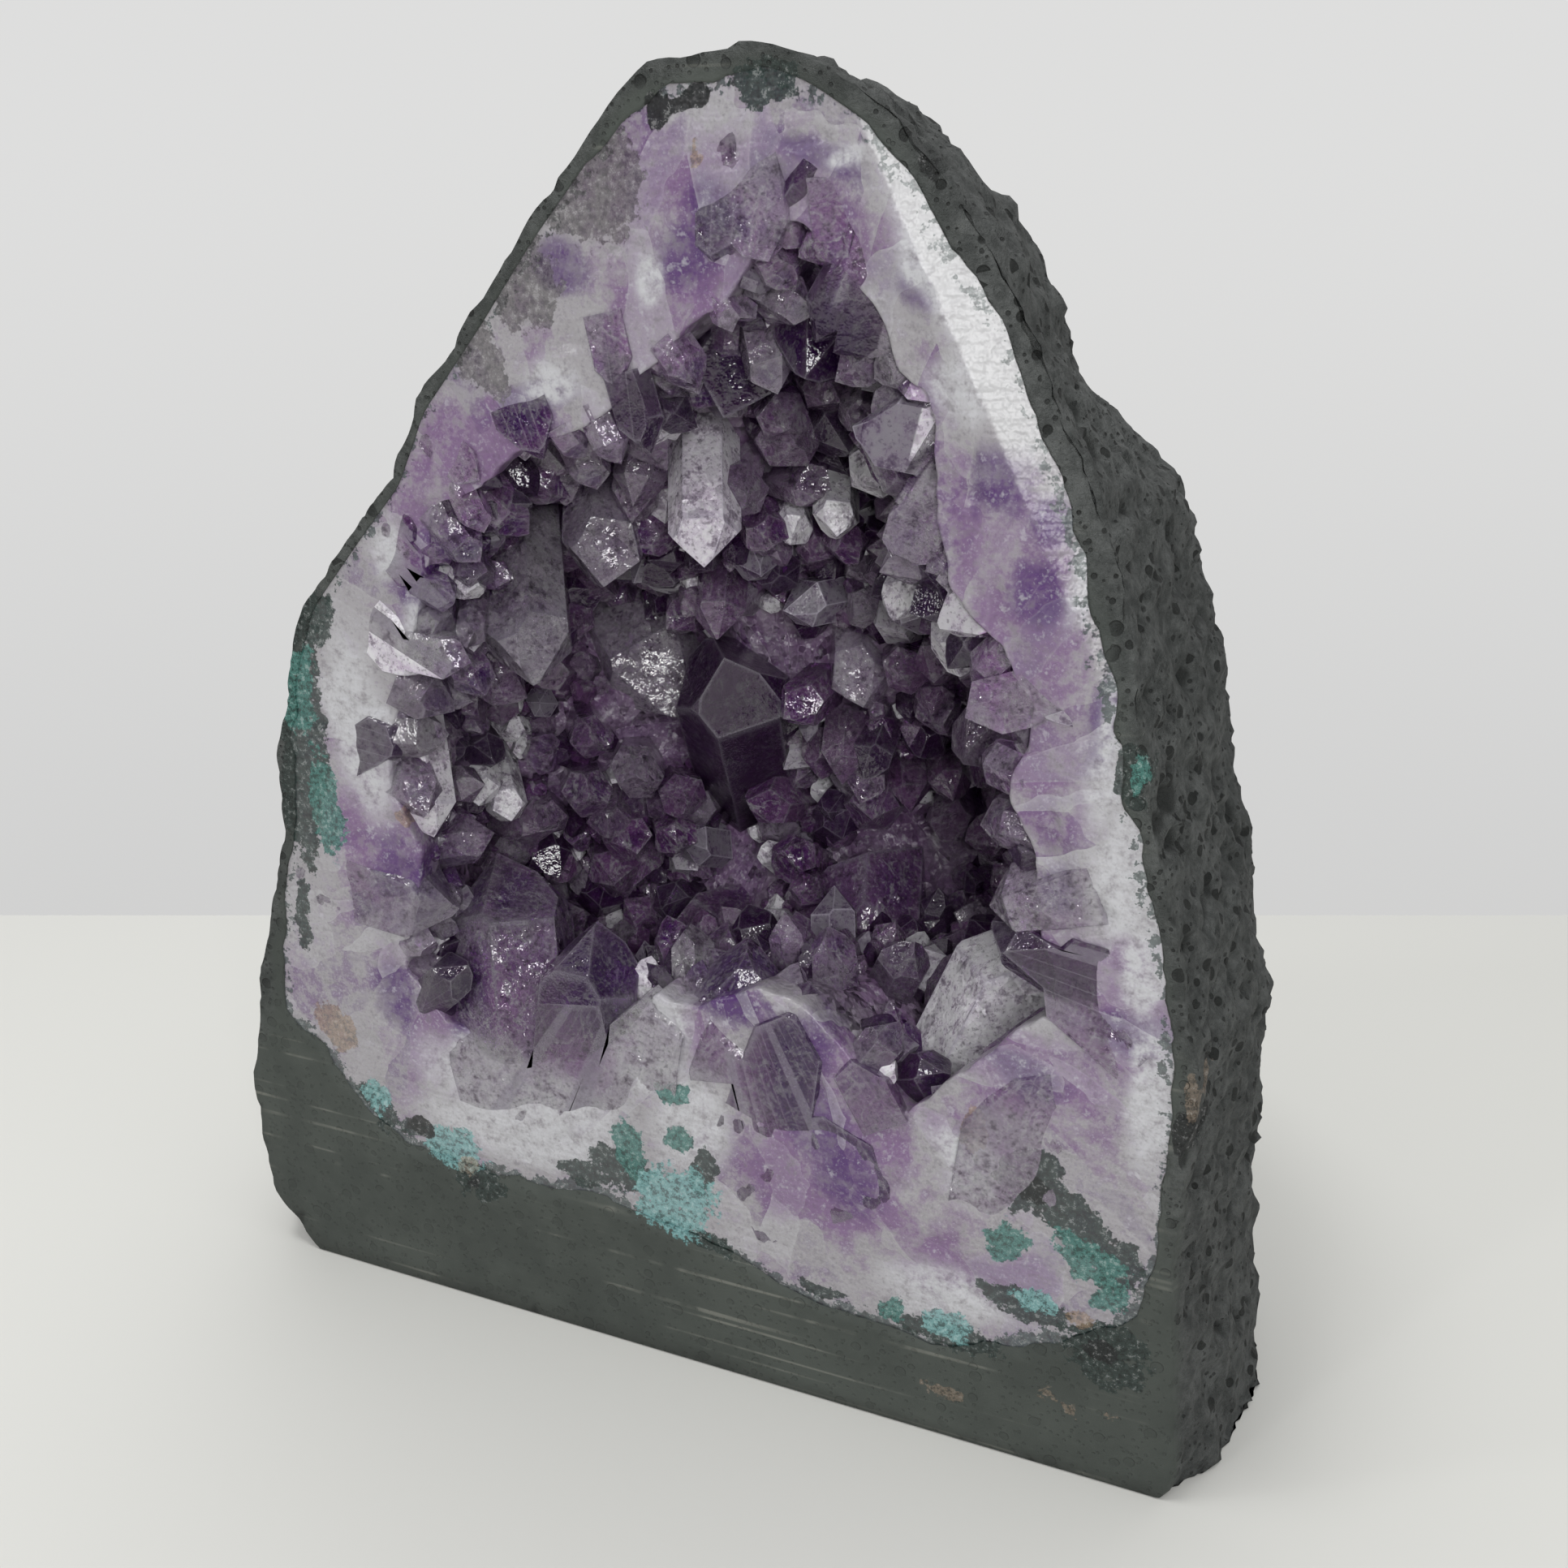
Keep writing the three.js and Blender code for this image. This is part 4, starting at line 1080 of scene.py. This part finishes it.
def with_markings(tree, where, colour, grain, tones):
    """Lays markings over a colour: each is (attribute, tone, how broken its edge is, strength)."""
    grit = cloud(tree, where, 800.0, 3.0, 0.8)
    for name, tone, broken, strength in tones:
        mask = fill_group(tree, RAGGED, {"Value": value_of(tree, name), "Grain": grain, "Break": broken})
        dark, pale = [c * 0.3 for c in tone[:3]] + [1], [c * 0.9 + 0.16 for c in tone[:3]] + [1]
        shaded = blend(tree, spread(tree, grit, 0.38, 0.52), dark, tone)
        shaded = blend(tree, spread(tree, grit, 0.54, 0.66), shaded, pale)
        colour = blend(tree, times(tree, mask["Mask"], strength), colour, shaded)
    return colour


def quartz_group():
    """Colour of quartz: milky, lilac or violet, clouded, in grown columns, with white flecks and scratches, and
    darker where Deep is set, as painted shade deep in the hollow.
    """
    colours = {"Milk colour": MILK, "Lilac colour": LILAC_QUARTZ, "Violet colour": VIOLET_QUARTZ,
               "White colour": WHITE_QUARTZ, "Deep colour": DEEP_SHADE_QUARTZ}
    inputs = {key: ("Color", value) for key, value in colours.items()}
    inputs["Where"] = ("Vector", None)
    inputs.update({key: ("Float", 0.0) for key in ("Violet", "Lilac", "White", "Deep", "Wisps", "Flecks")})
    tree, given, out = new_group("Quartz colour", inputs, {"Color": "Color", "Fine": "Float", "Soft": "Float"})
    where = given["Where"]
    soft, fine = cloud(tree, where, 75.0, 2.0, 0.65, 0.5), cloud(tree, where, 340.0, 3.0, 0.75)
    grit = cloud(tree, where, 1250.0, 2.0, 0.7)
    mottle = spread(tree, fine, 0.28, 0.72, -1.0, 1.0)
    lilac = plus(tree, given["Lilac"], spread(tree, soft, 0.3, 0.72, -0.5, 0.45))
    lilac = plus(tree, lilac, times(tree, mottle, 0.45), True)
    violet = plus(tree, given["Violet"], times(tree, mottle, 0.3))
    violet = times(tree, violet, spread(tree, soft, 0.2, 0.6, 0.45, 1.0), True)
    colour = blend(tree, lilac, given["Milk colour"], given["Lilac colour"])
    colour = blend(tree, violet, colour, given["Violet colour"])
    white = times(tree, given["White"], spread(tree, fine, 0.3, 0.6, 0.25, 1.0), True)
    colour = blend(tree, white, colour, given["White colour"])
    # Painted shade: Deep darkens the quartz towards its deep colour where it lies deep in the hollow
    dark = times(tree, given["Deep"], spread(tree, soft, 0.3, 0.7, 1.0, 0.5), True)
    colour = blend(tree, dark, colour, given["Deep colour"])
    wisp = math_node(tree, "ABSOLUTE", minus(tree, cloud(tree, where, 120.0, 3.0, 0.6, 1.2), 0.5))
    wisp = times(tree, spread(tree, wisp, 0.0, 0.04, 1.0, 0.0), spread(tree, fine, 0.35, 0.6))
    wisp = times(tree, wisp, given["Wisps"])
    colour = blend(tree, wisp, colour, given["White colour"])
    flecks = times(tree, spread(tree, grit, 0.56, 0.68, 0.0, 0.85), spread(tree, soft, 0.3, 0.6, 0.3, 1.0))
    colour = blend(tree, times(tree, flecks, given["Flecks"]), colour, given["White colour"])
    colour = blend(tree, spread(tree, fine, 0.56, 0.70, 0.0, 0.5), colour, given["White colour"])
    specks = times(tree, spread(tree, grit, 0.46, 0.32, 0.0, 0.6), given["Flecks"])
    colour = blend(tree, specks, colour, DARK_VEIL)
    veil = spread(tree, given["Flecks"], 0.2, 0.9, 0.25, 0.65)
    colour = blend(tree, times(tree, spread(tree, fine, 0.46, 0.30), veil), colour, DARK_VEIL)
    tree.links.new(colour, out["Color"])
    tree.links.new(fine, out["Fine"])
    tree.links.new(soft, out["Soft"])
    return tree


def facets_group():
    """A normal broken into tiny facets, each tilted its own way, more where Tilt is larger."""
    tree, given, out = new_group(
        "Tiny facets", {"Where": ("Vector", None), "Tilt": ("Float", 0.3)}, {"Normal": "Vector"})
    normal = tree.nodes.new("ShaderNodeNewGeometry").outputs["Normal"]
    for scale, share in ((330.0, 1.0), (900.0, 0.8)):
        way = cells(tree, given["Where"], scale, kind="Color")
        way = vector_node(tree, "SUBTRACT", {0: way, 1: (0.5, 0.5, 0.5)})
        way = vector_node(tree, "SCALE", {0: way, "Scale": times(tree, given["Tilt"], share)})
        normal = vector_node(tree, "ADD", {0: normal, 1: way})
    tree.links.new(vector_node(tree, "NORMALIZE", {0: normal}), out["Normal"])
    return tree


def fill_group(tree, group, inputs):
    made = tree.nodes.new("ShaderNodeGroup")
    made.node_tree = group
    for key, value in inputs.items():
        if hasattr(value, "is_output"):
            tree.links.new(value, made.inputs[key])
        else:
            made.inputs[key].default_value = value
    return made.outputs


def saw_lines(tree, where, turn, scale):
    """Fine parallel lines left by the saw, as a height from 0 to 1."""
    stretch = (1.0, 1.0, 60.0)
    turned = node(tree, "ShaderNodeMapping", {"Vector": where, "Rotation": (0, turn, 0), "Scale": stretch})
    return cloud(tree, turned.outputs[0], scale, 0.0, 0.5)


def pores(tree, where, scale, number, fewest, widest, edge):
    """Round pores of many sizes in some of the cells; number is the one of a cell's numbers that picks them."""
    size = spread(tree, cell_numbers(tree, where, scale)[number], fewest, 1.0, 0.0, widest)
    return spread(tree, minus(tree, size, cells(tree, where, scale)), 0.0, edge)


def bump(tree, shader, height, strength, distance, normal=None):
    """Roughens a surface by a height, from a normal of its own if one is given."""
    inputs = {"Strength": strength, "Distance": distance, "Height": height}
    if normal is not None:
        inputs["Normal"] = normal
    tree.links.new(node(tree, "ShaderNodeBump", inputs).outputs[0], shader.inputs["Normal"])


def basalt_material():
    made, tree, shader, _out = material("basalt")
    where = object_place(tree)
    behind = value_of(tree, "behind")
    sawn = minus(tree, 1.0, behind, True)
    soft, grain = cloud(tree, where, 40.0, 4.0, 0.65), cloud(tree, where, 330.0, 3.0, 0.7)
    sawn_face = blend(tree, spread(tree, soft, 0.3, 0.7), SAWN_DARK, SAWN_PALE)
    rough_tone = spread(tree, times(tree, grain, plus(tree, soft, 0.5)), 0.3, 0.75)
    rough_side = blend(tree, rough_tone, ROUGH_DARK, ROUGH_PALE)
    colour = blend(tree, behind, sawn_face, rough_side)
    # Painted shade: the pores and the stone's pits darken nearly to black, for the shade in the holes
    pore = pores(tree, where, 330.0, 0, 0.35, 0.46, 0.07)
    small = pores(tree, where, 820.0, 1, 0.5, 0.42, 0.1)
    pore = math_node(tree, "MAXIMUM", pore, times(tree, small, 0.8))
    pore_share = spread(tree, behind, 0.0, 1.0, 0.15, 1.0)
    pit = spread(tree, value_of(tree, "pit"), 0.5, 1.6, 0.0, 0.8)
    pit_and_pore_shade = math_node(tree, "MAXIMUM", times(tree, pore, pore_share), pit)
    colour = blend(tree, times(tree, pit_and_pore_shade, 0.95, True), colour, PORE_SHADE)
    scratch = spread(tree, saw_lines(tree, where, 0.13, 14.0), 0.62, 0.78, 0.0, 0.4)
    scratch = times(tree, scratch, spread(tree, soft, 0.45, 0.62))
    colour = blend(tree, times(tree, scratch, sawn), colour, SCRATCH)
    colour = with_markings(tree, where, colour, grain, STONE_TONES)
    tree.links.new(colour, shader.inputs["Base Color"])
    shader.inputs["Roughness"].default_value = 0.78
    height = minus(tree, cloud(tree, where, 500.0, 4.0, 0.85), times(tree, pore, 0.8))
    height = times(tree, height, spread(tree, behind, 0.0, 1.0, 0.2, 1.0))
    bump(tree, shader, height, 1.0, 0.0012)
    return made


def lining_material():
    made, tree, shader, _out = material("quartz rim")
    where = object_place(tree)
    inward, deep = value_of(tree, "inward"), value_of(tree, "deep")
    grown = node(tree, "ShaderNodeAttribute", attribute_name="grown").outputs["Vector"]
    wobble = cloud(tree, where, 130.0, 1.0)
    shift = node(tree, "ShaderNodeCombineXYZ", {0: times(tree, wobble, 5.0), 2: times(tree, wobble, 6.0)})
    grown = vector_node(tree, "ADD", {0: grown, 1: shift.outputs[0]})
    each = cell_numbers(tree, grown, CELLS)
    border = spread(tree, cells(tree, grown, CELLS, "DISTANCE_TO_EDGE"), 0.0, 0.07, 0.8, 0.0)
    border = times(tree, border, spread(tree, each[2], 0.2, 0.8))
    lilac = plus(tree, value_of(tree, "lilac"), spread(tree, inward, 0.2, 0.95, 0.0, 0.35))
    lilac = plus(tree, lilac, spread(tree, each[0], 0.0, 1.0, -0.35, 0.25), True)
    violet = plus(tree, value_of(tree, "violet"), spread(tree, each[1], 0.6, 1.0, -0.1, 0.3))
    violet = minus(tree, violet, times(tree, border, 0.2))
    white = plus(tree, value_of(tree, "white"), spread(tree, each[2], 0.6, 1.0, 0.0, 0.35), True)
    # Deep darkens the rim's quartz deep in the hollow as painted shade
    quartz = fill_group(tree, QUARTZ, {
        "Where": where, "Violet": violet, "Lilac": lilac, "White": white, "Deep": deep, "Flecks": 0.3,
    })
    edged = blend(tree, times(tree, border, 0.12), quartz["Color"], WHITE_QUARTZ)
    # Painted reflection: the shoulder's sawn cut is whitened where it mirrors the window light
    shoulder_reflection = spread(tree, quartz["Fine"], 0.25, 0.5, 0.6, 0.92)
    shoulder_reflection = times(tree, value_of(tree, "shoulder"), shoulder_reflection)
    colour = blend(tree, shoulder_reflection, edged, SHOULDER_REFLECTION_WHITE)
    colour = with_markings(tree, where, colour, quartz["Fine"], RIM_TONES)
    tree.links.new(colour, shader.inputs["Base Color"])
    shader.inputs["Roughness"].default_value = 0.34
    shader.inputs["Coat Weight"].default_value = 0.3
    shader.inputs["Coat Roughness"].default_value = 0.18
    height = cloud(tree, where, 420.0, 2.0, 0.75)
    height = plus(tree, height, times(tree, saw_lines(tree, where, 0.5, 18.0), 0.4))
    height = minus(tree, height, times(tree, border, 0.2))
    tilt = spread(tree, deep, 0.0, 0.5, 0.10, 0.9)
    facets = fill_group(tree, FACETS, {"Where": where, "Tilt": tilt})["Normal"]
    bump(tree, shader, height, 0.6, 0.0006, facets)
    return made


def crystal_material(name, clear, frost):
    """See-through by its clear share; frost adds to its roughness."""
    made, tree, shader, out = material(name)
    where = object_place(tree)
    along, tint, milky, middle = (value_of(tree, key) for key in ("along", "tint", "milky", "middle"))
    zone = times(tree, spread(tree, along, 0.35, 0.8), spread(tree, middle, 0.05, 0.6, 0.25, 1.0))
    violet = times(tree, zone, spread(tree, tint, 0.1, 0.65))
    violet = plus(tree, violet, times(tree, value_of(tree, "violet"), 0.7))
    violet = minus(tree, violet, times(tree, milky, 0.6), True)
    lilac = plus(tree, value_of(tree, "lilac"), times(tree, tint, 0.7))
    lilac = times(tree, lilac, spread(tree, along, 0.05, 0.5, 0.35, 1.0), True)
    white = plus(tree, value_of(tree, "white"), times(tree, milky, 1.35), True)
    clean = minus(tree, 1.0, times(tree, milky, 2.0), True)
    # Painted shade: clear crystals darken with depth in the hollow
    deep = times(tree, times(tree, value_of(tree, "deep"), clean), 0.85)
    quartz = fill_group(tree, QUARTZ, {
        "Where": where, "Violet": violet, "Lilac": lilac, "White": white, "Deep": deep,
        "Wisps": 0.7, "Flecks": 0.9,
        "Milk colour": CRYSTAL_MILK, "White colour": CRYSTAL_WHITE,
        "Lilac colour": CRYSTAL_LILAC, "Violet colour": CRYSTAL_VIOLET, "Deep colour": CRYSTAL_DEEP_SHADE,
    })
    darkness = times(tree, spread(tree, tint, 0.6, 1.0), 0.75)
    colour = blend(tree, darkness, quartz["Color"], CRYSTAL_DARK)
    # Pale edges and outlines of sawn sections: partly the crystals' pale outer layer, partly a painted
    # highlight along the edges
    edges = spread(tree, middle, 0.0, 0.12, 0.6, 0.0)
    colour = blend(tree, edges, colour, PALE_EDGE_AND_HIGHLIGHT)
    # Painted shade: the roots of clear crystals deep in the hollow darken, for the shade in the gaps between
    # them
    root = times(tree, spread(tree, along, 0.15, 0.65, 0.85, 0.0), deep)
    colour = blend(tree, root, colour, ROOT_SHADE)
    tree.links.new(colour, shader.inputs["Base Color"])
    rough = spread(tree, quartz["Fine"], 0.35, 0.65, 0.03 + frost, 0.14 + frost)
    tree.links.new(rough, shader.inputs["Roughness"])
    shader.inputs["IOR"].default_value = QUARTZ_IOR
    shader.inputs["Transmission Weight"].default_value = clear
    tilt = spread(tree, quartz["Soft"], 0.42, 0.64, 0.10, 0.7)
    tilt = times(tree, tilt, minus(tree, 1.0, darkness))
    facets = fill_group(tree, FACETS, {"Where": where, "Tilt": tilt})["Normal"]
    bump(tree, shader, cloud(tree, where, 600.0, 2.0, 0.75), 0.6, 0.0004, facets)
    absorb = node(tree, "ShaderNodeVolumeAbsorption", {"Color": ABSORBED, "Density": ABSORPTION})
    tree.links.new(absorb.outputs[0], out.inputs["Volume"])
    return made


RAGGED = ragged_group()
QUARTZ = quartz_group()
FACETS = facets_group()


# The pieces

stone = make_stone()
stone.data.materials.append(basalt_material())
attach(stone, "root")
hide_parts("basalt_rind")

lining = make_lining()
lining.data.materials.append(lining_material())
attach(lining, "root")
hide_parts("amethyst_crust")

clear_quartz = crystal_material("amethyst", clear=0.75, frost=0.0)
frosted_quartz = crystal_material("frosted quartz", clear=0.3, frost=0.22)
crystals = make_crystals(clear_quartz, frosted_quartz)
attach(crystals, "root")


# Camera, floor and light

CAMERA_AT = (0.1214, -0.2998, 0.2292)
CAMERA_AIM = Vector((-0.3582, 0.8621, -0.3584)).normalized()
CAMERA_RIGHT = Vector((0.9235, 0.3837, 0.0)).normalized()
TABLE_EDGE = 0.475  # how far in front of the camera the table ends, in metres
# Lamps that point at the geode: place, height aimed at, size and power
LAMPS = {
    "window": ((0.62, -1.15, 0.62), 0.12, (0.4, 0.35), 6.2),
    "ceiling": ((-0.2, -0.25, 1.2), 0.1, (0.3, 0.2), 2.8),
    "left window": ((-1.0, -0.7, 0.75), 0.12, (0.16, 0.3), 1.2),
    "spot high": ((0.25, -0.8, 1.0), 0.12, (0.06, 0.06), 0.9),
    "spot left": ((-0.45, -1.0, 0.6), 0.12, (0.07, 0.07), 0.8),
    "spot right": ((0.6, -0.75, 0.42), 0.12, (0.06, 0.06), 0.5),
}


def add_camera():
    lens = bpy.data.cameras.new("camera")
    lens.sensor_width = 36
    lens.lens = 36
    lens.clip_start = 0.01
    holder = linked("camera", lens)
    up = CAMERA_RIGHT.cross(CAMERA_AIM)
    turn = Matrix((CAMERA_RIGHT, up, -CAMERA_AIM)).transposed()
    holder.matrix_world = Matrix.Translation(CAMERA_AT) @ turn.to_4x4()
    bpy.context.scene.camera = holder


def add_floor():
    """A pale table that ends a little behind the geode, square to the camera."""
    heading = Vector((CAMERA_AIM.x, CAMERA_AIM.y, 0)).normalized()
    side = CAMERA_RIGHT * 2.5
    back = Vector((CAMERA_AT[0], CAMERA_AT[1], 0)) + heading * TABLE_EDGE
    front = back - heading * 3.0
    corners = [front - side, front + side, back + side, back - side]
    mesh = bpy.data.meshes.new("floor")
    mesh.from_pydata([(c.x, c.y, -0.0003) for c in corners], [], [(0, 1, 2, 3)])
    made, _tree, shader, _out = material("pale table")
    shader.inputs["Base Color"].default_value = (0.69, 0.69, 0.66, 1)
    shader.inputs["Roughness"].default_value = 0.6
    mesh.materials.append(made)
    floor = linked("floor", mesh)


def add_area(name, place, height, size, watts):
    lamp = bpy.data.lights.new(name, "AREA")
    lamp.shape = "RECTANGLE"
    lamp.size, lamp.size_y = size
    lamp.energy = watts
    holder = linked(name, lamp)
    holder.location = place
    aim = Vector((0, 0, height)) - Vector(place)
    holder.rotation_euler = aim.to_track_quat("-Z", "Y").to_euler()


def add_world():
    """A pale room: light walls behind the geode and overhead, dimmer behind the viewer."""
    world = bpy.data.worlds.new("room")
    bpy.context.scene.world = world
    world.use_nodes = True
    tree = world.node_tree
    towards = node(tree, "ShaderNodeTexCoord").outputs["Generated"]
    parts = node(tree, "ShaderNodeSeparateXYZ", {0: towards}).outputs
    ahead = plus(tree, times(tree, parts[0], float(CAMERA_AIM.x)), times(tree, parts[1], float(CAMERA_AIM.y)))
    wall = spread(tree, parts[2], -0.5, 0.05, 0.63, 0.73)
    around = spread(tree, ahead, 0.2, 0.75, 0.09, 1.0)
    top = spread(tree, parts[2], 0.35, 0.9, 0.0, 0.8)
    strength = plus(tree, times(tree, wall, around), top)
    back = tree.nodes["Background"]
    back.inputs["Color"].default_value = (1.0, 1.0, 0.995, 1)
    tree.links.new(strength, back.inputs["Strength"])


add_camera()
add_floor()
add_world()
for lamp_name, settings in LAMPS.items():
    add_area(lamp_name, *settings)
scene = bpy.context.scene
scene.view_settings.view_transform = "Standard"
scene.cycles.max_bounces = 5
scene.cycles.diffuse_bounces = 1
scene.cycles.glossy_bounces = 2
scene.cycles.transmission_bounces = 5
